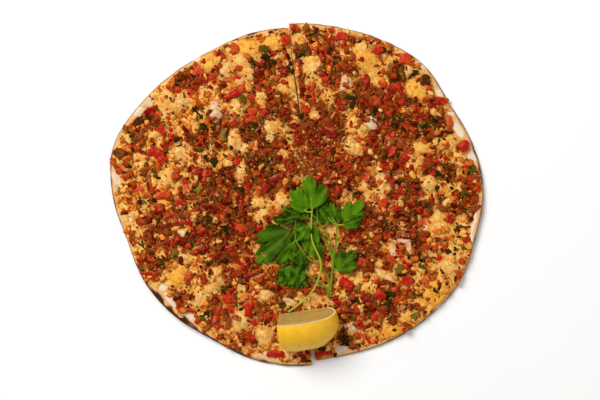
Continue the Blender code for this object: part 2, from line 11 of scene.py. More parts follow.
import bmesh
import bpy
import numpy as np
from bpy.props import FloatProperty, FloatVectorProperty, IntProperty, PointerProperty
from bpy.types import Operator, Panel, PropertyGroup
from mathutils import Matrix, Vector, noise
from mathutils.bvhtree import BVHTree


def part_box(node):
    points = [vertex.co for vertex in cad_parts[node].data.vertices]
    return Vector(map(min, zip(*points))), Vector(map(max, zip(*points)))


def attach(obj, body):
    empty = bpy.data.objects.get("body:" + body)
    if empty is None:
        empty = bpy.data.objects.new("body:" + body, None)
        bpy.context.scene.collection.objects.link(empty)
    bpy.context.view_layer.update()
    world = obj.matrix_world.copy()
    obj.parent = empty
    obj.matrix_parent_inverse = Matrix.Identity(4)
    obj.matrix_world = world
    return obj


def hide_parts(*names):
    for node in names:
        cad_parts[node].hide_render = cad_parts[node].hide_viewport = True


bl_info = {
    "name": "Lahmacun",
    "version": (1, 0, 0),
    "blender": (4, 5, 0),
    "location": "3D View > Sidebar > Lahmacun",
    "description": "Bread, topping, lemon and parsley over the solid parts of a lahmacun",
    "category": "Object",
}

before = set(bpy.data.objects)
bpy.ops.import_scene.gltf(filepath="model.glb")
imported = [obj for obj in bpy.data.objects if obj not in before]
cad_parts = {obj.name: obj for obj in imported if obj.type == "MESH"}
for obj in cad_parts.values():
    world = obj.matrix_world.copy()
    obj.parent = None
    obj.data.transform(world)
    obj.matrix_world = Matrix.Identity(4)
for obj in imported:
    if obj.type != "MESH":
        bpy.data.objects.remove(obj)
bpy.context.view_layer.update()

MM = 0.001

# --- The round, as in the solid parts -------------------------------------------------------------
DOUGH_THICKNESS = 0.0027
TOPPING_THICKNESS = 0.0017
TOPPING_EDGE = 0.45
TOPPING_TAPER = 0.012
CLUMPS = 0.35
CLUMP_LENGTH = 0.016
# How far the edge is from the middle, in mm, every 15 degrees from +X.
EDGE_RADII = np.array((
    149, 145.5, 141, 143.5, 139.5, 136,
    135, 135.5, 135, 139, 145, 151.5,
    146.5, 139.5, 139, 136, 132.5, 135,
    136, 136.5, 140.5, 145, 149, 147.5,
))
BARE_RIM = 0.0030
TOPPING_RIPPLE = 0.0007
# Places where the topping stops further in: bearing, depth in mm, half of the width in degrees.
RIM_NOTCHES = (
    (11, 6.5, 6), (22, 5.0, 6), (35, 4.5, 6), (150, 4.5, 7), (175, 6.5, 6), (219, 7.0, 9),
    (231, 5.0, 6), (260, 5.5, 6), (286, 5.5, 6), (350, 3.0, 9),
)
# The rim curls off the surface here: bearing, height in mm, half of the width in degrees.
RIM_CURLS = (
    (224, 4.2, 36), (178, 2.0, 18), (350, 2.2, 26), (55, 1.4, 20), (95, 0.8, 25),
)
CURL_START = 0.82
RIM_LIP = 0.0009
LIP_INSET = 0.0030
LIP_WIDTH = 0.0045
EDGE_LINE = 0.4  # the height of the dough's outermost line, as a share of its thickness
EDGE_ROUND = 0.0022
CALM_RIM = 0.016
WAVINESS = 0.0006
WAVE_LENGTH = 0.055
BLISTER_SPREAD = 1.5
# Blisters in the dough: x, y, radius, height.
BLISTERS = (
    (-70, 105, 8, 1.7), (-100, 74, 12, 1.6), (-36, 112, 12, 1.4), (-48, 68, 7, 1.4), (-8, 87, 8, 1.6),
    (-50, 42, 7, 1.5), (-103, 12, 8, 1.9), (-93, 34, 9, 1.4), (-66, -66, 8, 1.7), (-95, -66, 9, 1.6),
    (-45, -100, 8, 1.5), (-26, -112, 9, 1.8), (80, -106, 10, 1.7), (113, -80, 13, 1.6),
    (124, -55, 10, 1.7), (70, -65, 8, 1.4), (113, -26, 12, 1.8), (106, 9, 8, 1.9), (69, 6, 8, 1.5),
    (46, 37, 8, 1.5), (122, 42, 8, 1.4), (52, 56, 11, 1.8), (39, 87, 7, 1.8), (56, 108, 9, 1.6),
    (97, 82, 10, 1.7), (15, 104, 8, 1.5),
)
# The cut's line, from top to bottom.
KNIFE_PATH = (
    (-10, 165), (-6.3, 137), (-3.2, 105), (1.2, 75), (3.2, 58), (6.2, 5), (9.6, -55), (13.2, -125),
    (15, -165),
)
KNIFE_Y = np.array([y for _, y in reversed(KNIFE_PATH)]) * MM
KNIFE_X = np.array([x for x, _ in reversed(KNIFE_PATH)]) * MM
CUT_TOP = (-6.3 + 137j) * MM
CUT_MIDDLE_Y = 5 * MM  # the fine meshes of both halves fan out from here
# Along y: where the cut starts to close, where it is closed, where it opens again, and where it is open.
CUT_CLOSED = (-0.112, -0.100, 0.055, 0.085)
STREWN_OVER_CUT = (-102 * MM, -95 * MM, -26 * MM, -18 * MM)  # the same for the pieces that bridge it
HALF_SLIP = 0.0018
HALF_TURN = 0.30
SIDES = {"left": -1, "right": 1}

# --- What the baked round looks like, in mm: x, y, size along x, size along y, turn, then a shade -
# Pale places where the cream of the topping or the dough shows. Shade 0 is whitish, 1 yellow.
PALE_PATCHES = (
    (-70, 105, 13, 10, 0, 1.0), (-106, 75, 12, 14, 0, 0.7), (-93, 76, 9, 9, 0, 0.6),
    (-87, 75, 4, 6, 0, 0.2), (-97, 69, 8, 6, 0, 0.6), (-106, 62, 6, 5, 0, 0.6),
    (-65, 66, 8, 13, 0, 0.1), (-48, 68, 10, 10, 0, 0.6), (-28, 78, 9, 10, 0, 0.6),
    (-8, 87, 13, 12, 0, 0.9), (-46, 90, 6, 3, 0, 0.4), (-48, 108, 13, 12, 0, 0.7),
    (-38, 97, 6, 10, 0, 0.7), (-20, 121, 18, 9, 0, 1.0), (-38, 117, 16, 10, 0, 1.0),
    (-20, 53, 12, 10, 0, 0.5), (-22, 46, 6, 6, 0, 0.4), (-50, 43, 8, 19, 0, 0.6),
    (-44, 20, 7, 15, -8, 0.6), (-103, 12, 11, 12, 0, 0.8), (-92, 35, 10, 13, 0, 0.5),
    (-107, -9, 9, 8, 0, 1.0), (-125, 26, 8, 9, 0, 0.8), (-134, -19, 8, 6, 0, 0.5),
    (-66, -65, 10, 13, 0, 0.7), (-67, -75, 8, 6, 0, 0.6), (-88, -50, 5, 6, 0, 0.4),
    (-95, -66, 13, 13, 0, 1.2), (-92, -31, 6, 5, 0, 0.1), (-76, -84, 11, 9, 0, 0.7),
    (-109, -47, 5, 7, 0, 0.6), (-44, -78, 6, 12, 0, 0.6), (-25, -81, 9, 8, 0, 0.5),
    (-45, -102, 9, 13, 0, 0.6), (-26, -112, 11, 16, 0, 0.7), (-6, -128, 6, 7, 0, 0.6),
    (1, -133, 5, 4, 0, 0.6), (-6, -86, 7, 6, 0, 0.4), (15, -83, 8, 8, 0, 0.5), (24, -86, 9, 6, 0, 0.9),
    (-50, -5, 3, 8, 0, 0.5), (-28, -8, 12, 4, 0, 0.5), (-11, -5, 9, 6, 0, 0.6),
    (-29, -20, 6, 5, 0, 0.3), (-10, 33, 6, 5, 0, 0.5), (-42, 37, 5, 5, 0, 0.6),
    (-82, -18, 4, 3, 0, 0.5), (3, 124, 9, 8, 0, 0.7), (12, 104, 12, 15, 0, 0.6), (15, 63, 8, 6, 0, 0.6),
    (39, 87, 8, 12, 0, 0.2), (55, 108, 10, 16, 25, 1.0), (52, 118, 8, 7, 0, 0.8),
    (63, 93, 8, 13, 0, 0.8), (38, 113, 4, 5, 0, 0.5), (90, 100, 4, 12, 8, 0.7),
    (97, 83, 13, 14, 0, 1.0), (45, 56, 9, 11, 0, 0.5), (60, 56, 8, 9, 0, 0.1), (46, 37, 12, 8, 0, 0.6),
    (58, 34, 4, 4, 0, 0.6), (54, 6, 5, 7, 0, 0.5), (66, 20, 5, 5, 0, 0.6), (67, 13, 8, 6, 0, 0.6),
    (70, 3, 9, 7, 0, 0.6), (92, 23, 6, 6, 0, 0.7), (92, 30, 6, 6, 0, 0.7), (99, 27, 5, 5, 0, 0.7),
    (105, 9, 10, 11, 0, 0.7), (100, 37, 12, 8, 0, 0.9), (122, 42, 15, 7, 0, 0.8),
    (83, -6, 4, 5, 0, 0.5), (61, -31, 4, 5, 0, 0.5), (103, -27, 3, 4, 0, 0.1), (83, -38, 12, 4, 0, 0.1),
    (90, -44, 4, 10, 15, 0.1), (77, -46, 4, 10, 0, 0.2), (113, -25, 13, 20, 0, 0.8),
    (125, -55, 17, 15, 0, 0.7), (128, -42, 9, 9, 0, 0.8), (113, -80, 22, 22, 0, 1.1),
    (66, -55, 5, 7, 0, 0.5), (70, -65, 15, 5, -35, 0.4), (52, -64, 5, 7, 0, 0.6),
    (55, -74, 6, 4, 0, 0.5), (50, -91, 5, 6, 0, 0.4), (43, -107, 8, 7, 0, 0.0),
    (87, -98, 7, 10, 0, 0.9), (77, -110, 16, 7, 15, 1.3), (130, 6, 4, 5, 0, 0.6),
    (38, -4, 5, 4, 0, 0.4), (-57, 100, 6, 9, 0, 0.4), (-115, 47, 8, 6, 0, 0.8), (98, -97, 8, 8, 0, 1.0),
)
# Baked dough that nothing covers.
BARE_PATCHES = (
    (-144, 13, 6, 10, 0), (-126, 66, 6, 9, -40), (-117, 74, 9, 4, 40), (-79, 108, 7, 4, 30),
    (-107, -74, 9, 6, 0), (-101, -84, 5, 16, 45), (-86, -97, 13, 5, -10), (-23, -127, 7, 5, 0),
    (36, -124, 13, 5, 10), (115, -90, 6, 4, 45), (141, -28, 3, 26, -10), (145, -5, 3, 5, 0),
    (141, 29, 6, 9, 15), (129, 51, 5, 14, 25), (123, 64.5, 6, 5, 0), (115, 81, 5, 7, 30),
    (100, 104, 3, 9, 40), (-134, -19, 5, 8, 15),
)
# Where the mince lies thick: x, y, size along x, size along y, turn, how thick.
MINCE_FIELDS = (
    (-62, 50, 34, 28, 0, 0.9), (-76, 44, 20, 16, 0, 0.9), (-60, -4, 50, 46, 0, 1.0),
    (-58, -30, 54, 36, 0, 1.0), (-53, -56, 36, 26, 0, 0.9), (-50, -74, 22, 20, 0, 0.8),
    (-86, 92, 40, 20, 15, 0.6), (-26, 92, 20, 34, 0, 0.9), (-13, 72, 26, 34, 0, 0.9),
    (-30, 44, 44, 34, 0, 0.8), (-20, 20, 44, 34, 0, 0.8), (-36, 25, 30, 26, 0, 0.8),
    (-130, 55, 20, 36, 0, 0.8), (-118, 60, 22, 14, 0, 0.7), (-100, -33, 40, 30, 0, 0.7),
    (-100, -14, 40, 20, 0, 0.6), (-116, -56, 22, 20, 0, 0.8), (-95, -85, 26, 16, 0, 0.6),
    (-70, -84, 16, 12, 0, 0.5), (-60, -98, 20, 24, 0, 0.5), (-30, -95, 20, 20, 0, 0.6),
    (-16, -70, 30, 24, 0, 0.6), (10, 125, 24, 14, 0, 0.6), (5, 113, 14, 22, 0, 0.9),
    (30, 103, 34, 34, 0, 0.7), (50, 80, 38, 28, 0, 0.9), (66, 73, 28, 16, 0, 1.0),
    (20, 45, 44, 50, 0, 0.8), (28, 15, 44, 36, 0, 1.0), (75, 42, 34, 50, 0, 1.0),
    (102, 55, 34, 20, 0, 0.9), (86, 68, 30, 22, 0, 0.8), (60, 22, 30, 28, 0, 0.7),
    (86, 4, 32, 20, 0, 0.9), (76, -25, 46, 26, 0, 0.9), (93, -36, 26, 30, 0, 0.7),
    (98, -12, 30, 14, 0, 0.8), (50, -28, 24, 34, 0, 0.8), (58, -52, 34, 26, 0, 0.7),
    (50, -92, 40, 28, 0, 0.7), (75, -85, 30, 26, 0, 0.7), (112, 22, 24, 20, 0, 0.7),
    (136, 6, 16, 24, 0, 0.7), (130, -12, 24, 10, 0, 0.7), (40, -118, 16, 10, 0, 0.6),
    (80, 95, 14, 24, 0, 0.8), (10, -78, 30, 12, 0, 0.4), (60, 116, 30, 8, -20, 0.5),
    (5, -130, 24, 8, 0, 0.5),
)
# Scraps of tomato and red pepper. Shade 0 is maroon, 0.5 red, 0.8 orange, 1 pink.
SCRAPS = (
    (-109.5, 51.5, 6, 5, 0.5), (-77, 97, 12, 10, 0.85), (-67, 95, 8, 5, 0.7), (-95, 83, 4, 6, 0.6),
    (-84, 80, 4, 7, 0.6), (-46, 101, 5, 4, 0.6), (-47, 93, 5, 3, 0.6), (-30, 97, 4, 7, 0.1),
    (-9, 123, 6, 8, 0.6), (-13, 106, 3, 3, 0.5), (-36, 78, 6, 5, 0.45), (-35, 66, 8, 6, 0.7),
    (-50, 56, 5, 6, 0.4), (-3, 134, 4, 4, 0.5), (25, 126, 5, 5, 0.6), (15, 114, 7, 7, 0.4),
    (12, 77, 5, 10, 0.5), (8, 68, 6, 6, 0.5), (23, 92, 5, 5, 0.6), (44, 124.5, 7, 4, 0.1),
    (37, 119, 4, 5, 0.6), (33, 101, 4, 3, 0.5), (56, 90, 5, 14, 0.1), (81, 85, 5, 7, 0.7),
    (72, 77, 5, 4, 0.8), (54, 73, 5, 3, 0.3), (33, 90, 4, 5, 0.5), (29, 86, 5, 3, 0.5),
    (34, 73, 5, 5, 0.5), (74, 64, 5, 5, 0.6), (87, 54, 4, 5, 0.5), (105, 83, 5, 4, 0.6),
    (115, 74, 10, 7, 0.25), (122, 57, 4, 9, 0.85), (104, 31.5, 8, 3, 0.3), (116, 33, 4, 4, 0.3),
    (105, 26, 4, 6, 0.3), (111, 26, 4, 4, 0.3), (70, 23, 6, 6, 0.4), (82, 22, 5, 5, 0.4),
    (88, 29, 5, 5, 0.4), (77, 48, 3, 4, 1.0), (84, 73, 4, 4, 0.5), (99, 68, 4, 4, 0.5),
    (101, 60, 5, 3, 0.5), (109, 16, 4, 3, 0.5), (136, 22, 4, 3, 0.5), (140, 12, 4, 4, 0.4),
    (145, 5, 4, 5, 0.4), (-100, 43.5, 4, 9, 0.6), (-141, 18, 8, 4, 0.5), (-125, 4, 6, 4, 1.0),
    (-88, 5, 4, 8, 1.0), (-73, 17, 4, 6, 1.0), (-102, -17, 6, 4, 0.4), (-58, -17, 6, 10, 0.9),
    (-77, 45, 6, 3, 0.4), (-48, 25, 4, 5, 0.5), (-7, 16, 4, 4, 1.0), (-39, 5, 5, 4, 0.5),
    (-45, -7, 4, 6, 0.9), (-7, -12, 8, 2, 0.5), (-13, -15, 6, 3, 0.5), (-29, -27, 5, 5, 0.6),
    (-44, -28, 10, 6, 0.7), (2, 45, 3, 7, 0.1), (17, 43, 4, 3, 0.5), (23, 36, 4, 4, 0.5),
    (-25, 34, 4, 3, 0.5), (60, 41, 7, 9, 0.4), (40, 29, 5, 3, 0.6), (37, 24, 5, 4, 0.6),
    (42, 23, 4, 4, 0.5), (43, 15, 5, 3, 0.5), (20, 17, 2, 6, 0.3), (56, 14, 6, 8, 0.85),
    (75.5, 10, 4, 5, 0.4), (85, 2, 10, 4, 0.2), (94, 6, 5, 3, 0.3), (79, -2, 3, 3, 0.4),
    (33, 4, 8, 7, 0.25), (100, -23, 6, 6, 0.9), (104, -15, 5, 4, 0.5), (57, -22, 3, 5, 0.4),
    (139, 6, 7, 7, 0.1), (112, -42, 6, 6, 0.8), (112, -37, 3, 2, 0.6), (103.5, -43, 4, 6, 0.6),
    (67, -34, 4, 4, 0.2), (83, -40, 4, 4, 0.5), (83, -49, 6, 4, 0.5), (76, -52, 8, 6, 0.7),
    (88, -58, 5, 5, 0.6), (131, -65, 4, 6, 0.4), (132, -54, 6, 5, 0.5), (135, -36, 4, 5, 0.5),
    (-105, -38, 5, 5, 0.15), (-73, -30, 4, 6, 0.15), (-78, -38, 4, 3, 0.4), (-63, -96, 4, 12, 0.5),
    (-61, -108, 6, 3, 0.5), (-55, -84, 8, 6, 0.6), (-52.5, -92, 4, 8, 0.5), (-44, -56, 8, 5, 0.4),
    (-33, -81, 6, 7, 0.6), (-29, -93, 4, 3, 0.5), (-32, -102, 6, 5, 0.5), (-23, -97, 8, 4, 0.6),
    (-17, -97, 5, 7, 0.4), (7, -126, 6, 5, 0.6), (18, -129, 5, 6, 0.6), (26, -128, 8, 3, 0.6),
    (38, -63, 6, 3, 0.4), (81, -84, 5, 5, 0.5), (33, -86, 4, 3, 0.5), (47, -89, 3, 3, 0.5),
    (63, -97, 6, 8, 0.7), (51, -104, 5, 5, 0.5), (58, -117, 5, 5, 0.5), (104, -71, 4, 5, 0.6),
    (86, -104, 3, 3, 0.5), (-36, -114, 6, 10, 0.2), (-85, -93, 6, 3, 0.4), (-79, -102, 4, 4, 0.4),
    (-92, -92, 4, 4, 0.4), (66.5, 89, 3, 3, 0.8), (-60, 110, 4, 3, 0.6),
)
# Herb leaves, olive and dark meat. Shade 0 is black, 0.3 dark green, 0.6 olive, 1 brown.
DARK_BITS = (
    (-91, 96, 3, 3, 0.1), (-95, 87, 3, 3, 0.1), (-83, 95, 2, 2, 0.1), (-76, 61, 4, 4, 0.2),
    (-72, 59, 4, 4, 0.1), (-74, 55, 5, 4, 0.1), (-66, 54, 4, 4, 0.1), (-25, 109, 5, 6, 0.1),
    (-22, 104, 5, 5, 0.15), (-18, 105, 5, 4, 0.1), (-34, 103, 1.5, 6, 0.1), (-5, 104, 3, 3, 0.1),
    (-3, 97, 3, 6, 0.2), (10, 127, 9, 4, 0.3), (5, 118, 8, 6, 0.8), (7, 112, 4, 4, 0.2),
    (3, 62, 4, 5, 0.1), (29, 104, 4, 6, 0.2), (44, 122, 5, 2, 0.1), (69, 115, 3, 5, 0.2),
    (94, 111, 3, 3, 0.2), (78, 92, 7, 5, 0.1), (94, 97, 6, 5, 0.2), (64, 65, 8, 4, 0.0),
    (42, 78, 5, 4, 0.3), (47, 74, 6, 4, 0.35), (44, 70, 4, 4, 0.2), (77, 57, 4, 8, 0.2),
    (83, 58, 4, 4, 0.3), (101, 55, 6, 5, 0.1), (108, 54, 6, 4, 0.15), (122, 49, 5, 3, 0.2),
    (120, 25, 4, 3, 0.2), (116, 16, 6, 7, 0.2), (141, 19, 6, 8, 0.6), (-137, 46, 4, 3, 0.2),
    (-133, 31, 3, 3, 0.1), (-133, 39, 3, 3, 0.1), (-134.5, 22, 5, 3, 0.2), (-120, 23, 4, 4, 0.6),
    (-113, 15, 4, 4, 0.6), (-125, -7, 4, 4, 0.2), (-81, 42, 5, 3, 0.0), (-96, 43, 4, 4, 0.2),
    (-93.5, 38.5, 6, 1.2, 0.1), (-66, 26, 6, 8, 0.25), (-56, 21, 3, 3, 0.2), (-36, 23, 4, 6, 0.2),
    (-33, 53, 5, 7, 0.2), (-27, 45, 4, 5, 0.4), (-52, 37, 3, 3, 0.1), (-17, 36, 4, 4, 0.1),
    (-23, 26, 4, 3, 0.0), (-19, 19, 3, 3, 0.0), (-50, -15, 5, 4, 0.1), (-57, -25, 6, 4, 0.1),
    (-44, 3, 3, 3, 0.1), (95, 10, 5, 7, 0.0), (84, 8, 6, 4, 0.1), (91, -2, 5, 5, 0.1),
    (48, 0, 8, 3, 0.1), (103, -10, 5, 5, 0.1), (98, -16, 5, 4, 0.1), (73, -27, 5, 3, 0.1),
    (121, 10, 3, 4, 0.1), (112, 5, 4, 4, 0.3), (124, 5, 2, 2, 0.1), (133, 1, 4, 7, 0.6),
    (145, 13, 5, 8, 0.8), (134, -12, 5, 2, 0.2), (129, -31, 5, 3, 0.1), (142, -11, 10, 5, 1.0),
    (116, -12, 8, 6, 1.0), (117, -45, 3, 4, 0.2), (121, -46, 4, 4, 0.2), (127, -44, 3, 3, 0.2),
    (101, -53, 6, 3, 0.1), (100, -58, 6, 3, 0.6), (85, -65, 7, 3, 0.1), (83, -60, 6, 8, 0.7),
    (-67, -25, 4, 4, 0.1), (-77, -21, 3, 3, 0.1), (-72, -22, 3, 3, 0.1), (-71, -56, 4, 3, 0.1),
    (-58, -77, 4, 4, 0.1), (-72, -96, 4, 6, 0.2), (-75, -100, 4, 4, 0.6), (-110, -55, 6, 4, 0.1),
    (-120, -33, 5, 9, 1.0), (-83, -40, 3, 5, 0.5), (-32, -89.5, 4, 2, 0.2), (-44, -92.5, 4, 3, 0.2),
    (-12, -89, 8, 6, 0.5), (-52, -118, 3, 2, 0.1), (-60, -115, 6, 3, 0.2), (19, -123, 8, 4, 0.2),
    (31, -129, 3, 3, 0.2), (73, -83, 3, 10, 0.0), (88, -81, 3, 4, 0.1), (46, -86.5, 3, 2, 0.1),
    (38, -117, 7, 8, 0.15), (50, -121, 3, 3, 0.2), (78, -108.5, 3, 2, 0.1), (96, -92, 2, 2, 0.1),
    (85, -92, 2, 2, 0.1), (99, -81, 4, 3, 0.2), (110, -76, 2, 4, 0.1), (114, -75, 2, 4, 0.1),
    (112, -78, 4, 2, 0.1), (120, -72, 2, 2, 0.1), (-26, 116, 6, 6, 0.6), (-43, 75, 6, 7, 0.6),
    (-114, 60, 5, 5, 0.6), (28, 91, 3, 3, 0.6),
)
# Browning of the rim: bearing, half of the width in degrees, how far in, depth in mm, strength.
RIM_BROWNING = (
    (176, 22, 0.0, 1.2, 0.75), (206, 10, 0.0, 1.9, 0.85), (222, 14, 0.0, 3.4, 1.0),
    (243, 18, 0.0, 2.2, 0.9), (266, 14, 0.0, 1.3, 0.75), (8, 11, 0.0, 1.4, 0.85),
    (350, 10, 0.0, 1.1, 0.6), (62, 10, 0.0, 1.2, 0.6), (85, 9, 0.0, 1.0, 0.6), (96, 3, 0.2, 1.8, 0.8),
    (105, 3, 0.2, 2.0, 0.9), (113, 4, 0.2, 1.8, 0.8), (309, 14, 0.0, 1.4, 0.8),
    (30, 14, 0.0, 1.1, 0.65), (332, 14, 0.0, 1.1, 0.5),
)

# How the patches' edges wander, and the finer marbling of thick and thin mince that runs through all of them.
PATCH_WANDER = 2.4 * MM
PATCH_WANDER_LENGTH = 6 * MM
MARBLING_LENGTH = 8 * MM
TOPPING_EDGE_REACH = 1.5 * MM  # how far the topping's ragged edge goes past that of the solid
TOPPING_EDGE_WANDER = 1.3 * MM
MEAN_RADIUS = 0.14  # for spacing the rings of the fine meshes
UNDERSIDE = 1.0 * MM  # how far under its upper side a fan's underside is, before it is moulded

# --- Pieces that stand on solid nodes -------------------------------------------------------------
DICE_KINDS = {
    "tomato": "tomato",
    "red_pepper": "red_pepper",
    "green_pepper": "green_pepper",
    "burnt_lump": "burnt_mince",
}  # the start of the node's name, and the slot of its finish
DICE_SINK = 0.0013  # how far the diced pieces are pressed into the topping
LOWEST = 0.2 * MM  # no strewn piece reaches under this height
TRIES = 20000  # how many places are drawn at a time
TRIED_REACH = 0.147
WIDEST_RADIUS = TRIED_REACH + 0.004
OFF_CUT = (1.5 * MM, 3.5 * MM)  # how far a piece moves out of the cut, above and below this y
OFF_CUT_Y = -90 * MM
ROOM_AT_RIM = 0.8 * MM
BROWN_FROM = 0.75  # dark bits with at least this shade are lumps of mince
LAID_GROWTH = 1.10  # how much larger the laid pieces are made than listed
LAID_TILT = 0.08
LEMON_FOOTPRINT = ((9, -109, 46, 24, 8),)  # x, y, length, width in mm, turn

LEMON_RADIUS = 0.021
LEMON_HALF_LENGTH = 0.0298
LEMON_BLUNTNESS = (2.5, 2.0)
LEMON_END = 0.0164
LEMON_END_LEAN = 6
LEMON_EDGE_BACK = 0.0096
LEMON_EDGE_BELOW = 0.0090
LEMON_WEDGE = 74
LEMON_PLACE = -13.8 - 95.9j
LEMON_BEARING = 8
LEMON_SEGMENTS = 9

STEM_DIAMETER = 0.0017
STALK_DIAMETER = 0.0011
LEAF_THICKNESS = 0.0007
GAP = 0.0003
LONG_STEMS = (
    (
        (-6.5, -94.2, 1.4), (0, -89.5, 1.8), (8, -83, 2.8), (13, -77, 4.0), (17, -69, 5.4),
        (19, -62, 6.2), (19.5, -55.5, 6.5), (18, -50, 6.5), (15, -43.5, 6.3), (12.5, -37, 6.2),
        (11.5, -30, 6.2), (11.7, -22, 6.4), (12.3, -14, 6.8),
    ),
)
# Paleness stands partly for a young leaf's colour and partly for painted light and shade: lit leaves are
# paler, shaded ones darker.
# Where the blade starts, its bearing, rise and roll in degrees, its length and width, and how pale it is.
LONG_LEAVES = (
    (12.5, -12, 97, 5, 0, 23.5, 27, 0.7),
    (8, -14, 128, 4, -6, 19, 15, 0.8),
    (10, -25, 232, -2, 4, 14, 12, 0.4),
)
BRANCHED_STEMS = (
    (
        (26.8, -82, 1.3), (27.5, -74, 1.5), (28.6, -66, 1.7), (29.4, -56, 2.0), (30.2, -48, 2.3),
        (31.6, -40, 2.6), (32.3, -32, 2.9), (31.8, -25, 3.1),
    ),
    (
        (24.8, -82, 1.3), (26, -75, 1.6), (28.2, -64, 2.1), (29.3, -52, 2.5), (28, -42, 2.9),
        (24.5, -33, 3.1), (20, -26.5, 3.1), (17, -22, 3.1),
    ),
    (
        (29.2, -58, 2.1), (27.5, -47.5, 2.5), (23.5, -38.5, 2.8), (18, -32, 2.8), (13.5, -28, 2.6),
    ),
    (
        (27.5, -74, 1.5), (24, -64, 2.0), (18, -57, 2.3), (10, -51.5, 2.4), (4, -44, 2.6),
        (0, -38, 2.6), (-1.5, -31, 2.5),
    ),
    (
        (26.8, -76, 1.5), (18, -71, 1.5), (11, -66, 1.5), (4, -60.5, 1.7),
    ),
)
BRANCHED_LEAVES = (
    (-1, -20.5, 178, 1, 4, 17, 10, 0.2),
    (-4.5, -29.5, 223, 1, -4, 33, 33, 0.3),
    (2, -56, 118, 8, 10, 14, 9, 0.3),
    (3, -61, 210, 0, -4, 19, 19, 0.3),
    (4.5, -64, 248, -2, 6, 12, 13, 0.2),
    (30.5, -22, 122, 3, -6, 19, 13, 0.5),
    (33, -23, 85, 6, 10, 14, 7, 0.3),
    (38.5, -23.5, 52, 8, 6, 21, 18, 0.8),
    (32.5, -61, 47, 6, -6, 19.5, 18, 0.4),
    (17, -22, 95, 0, 0, 12, 10, 0.1),
)
# Small leaves between and under the larger ones. Those with no paleness are painted shade: dark leaves set
# where the cluster lies in deep shade.
UNDER_LEAVES = (
    (12, -12, 60, 4, 5, 16, 13, 0.35),
    (11, -13, 104, 6, 0, 14, 13, 0.5),
    (9, -20, 132, 0, 0, 17, 15, 0.1),
    (8, -26, 205, -2, 0, 13, 12, 0.6),
    (10, -27, 245, 0, 0, 12, 12, 0.5),
    (0, -27, 262, 0, 0, 18, 13, 0.0),
    (3, -44, 268, 0, 0, 17, 13, 0.0),
    (-2, -38, 240, 2, 5, 17, 13, 0.4),
    (5, -60, 225, 4, 8, 15, 14, 0.45),
    (26, -20, 110, 5, -5, 14, 10, 0.5),
    (36, -25, 20, 4, 5, 17, 12, 0.3),
    (17, -24, 60, 2, 0, 14, 10, 0.1),
    (14, -24, 250, 2, 6, 20, 17, 0.5),
    (12, -38, 300, 3, -5, 15, 13, 0.6),
    (5, -48, 255, 0, 0, 16, 13, 0.0),
    (4, -17, 160, 2, 5, 15, 12, 0.15),
    (16, -8, 20, 3, -8, 11, 10, 0.2),
    (24, -24, 75, 3, 6, 15, 11, 0.4),
    (-6, -58, 235, 2, 5, 14, 12, 0.35),
)
LEAF_LOBES = 3
LEAF_LOBE_DEPTH = 0.42
LEAF_TEETH = 9
LEAF_TOOTH_DEPTH = 0.13
LEAF_BREADTH = 0.62  # how far a leaf goes to either side, as a share of its width
LEAF_SPREAD = 76
STALK_REACH = 0.4  # how far into the blade the stalk goes
STEM_BED = 0.004  # stems lie on the highest that is this near

# --- The view -----------------------------------------------------------------------------------------
VIEW_MIDDLE = 2.8 - 4.8j
VIEWED_HEIGHT = 0.004  # the height at which the view has its full width
SENSOR_WIDTH = 36


# --- The round's shape ----------------------------------------------------------------------------


def swell(away, reach):
    """1 where away is 0, falling smoothly to 0 where it is reach."""
    return 0.5 + 0.5 * np.cos(math.pi * np.minimum(1.0, np.abs(away) / reach))


def swell_round(bearing, centre, half_width):
    """The same round the edge, in degrees."""
    return swell((bearing - centre + 180) % 360 - 180, half_width)


def smooth_step(a, b, c, d, share):
    """A share of the way from b to c on a Catmull-Rom line, which has a before b and d after c."""
    bend = (2 * a - 5 * b + 4 * c - d) * share**2 + (3 * b - a - 3 * c + d) * share**3
    return (2 * b + (c - a) * share + bend) / 2


def ease(value, low, high):
    """0 below low, 1 above high, and smooth in between."""
    share = np.clip((value - low) / (high - low), 0.0, 1.0)
    return share * share * (3 - 2 * share)


def between(value, start, full, last, end):
    """1 from full to last, and 0 before the start and after the end."""
    return ease(value, start, full) * ease(-value, -end, -last)


def cloud(places, length, layer=0.0):
    """Soft noise from about -1 to 1 over places in plan, with lumps of this length."""
    flat = np.ravel(places) / length
    values = [noise.noise(Vector((x, y, layer))) for x, y in zip(flat.real.tolist(), flat.imag.tolist())]
    return np.array(values).reshape(np.shape(places))


def polar(radius, angle):
    return radius * np.exp(1j * np.asarray(angle))


def edge_radius(angle):
    place = np.asarray(angle) / math.tau * len(EDGE_RADII)
    before = np.floor(place).astype(int)
    radii = (EDGE_RADII[(before + k) % len(EDGE_RADII)] * MM for k in (-1, 0, 1, 2))
    return smooth_step(*radii, place - before)


def from_rim(local):
    """How far inside the edge of the dough a place is."""
    return edge_radius(np.angle(local)) - np.abs(local)


def topping_radius(angle):
    """The edge of the topping as the solid has it."""
    bearing = np.degrees(angle)
    notches = [depth * MM * swell_round(bearing, at, width) for at, depth, width in RIM_NOTCHES]
    return edge_radius(angle) - BARE_RIM - np.max(notches, axis=0) + TOPPING_RIPPLE * np.sin(13 * angle)


def ragged_radius(angle):
    """The edge of the topping as it is baked."""
    wander = TOPPING_EDGE_WANDER * cloud(polar(edge_radius(angle), angle), 4 * MM, 2.0)
    return topping_radius(angle) + TOPPING_EDGE_REACH + wander


def curl(local):
    """How high the underside is off the surface."""
    angle = np.angle(local)
    share = np.maximum(0.0, (np.abs(local) / edge_radius(angle) - CURL_START) / (1 - CURL_START))
    bearing = np.degrees(angle)
    return share**2 * sum(height * MM * swell_round(bearing, at, width) for at, height, width in RIM_CURLS)


def relief(served):
    """Waves and blisters in the dough, where the served round lies."""
    height = WAVINESS * (1 + cloud(served, WAVE_LENGTH))
    for x, y, radius, top in BLISTERS:
        height = height + top * MM * swell(np.abs(served - complex(x, y) * MM), BLISTER_SPREAD * radius * MM)
    return height


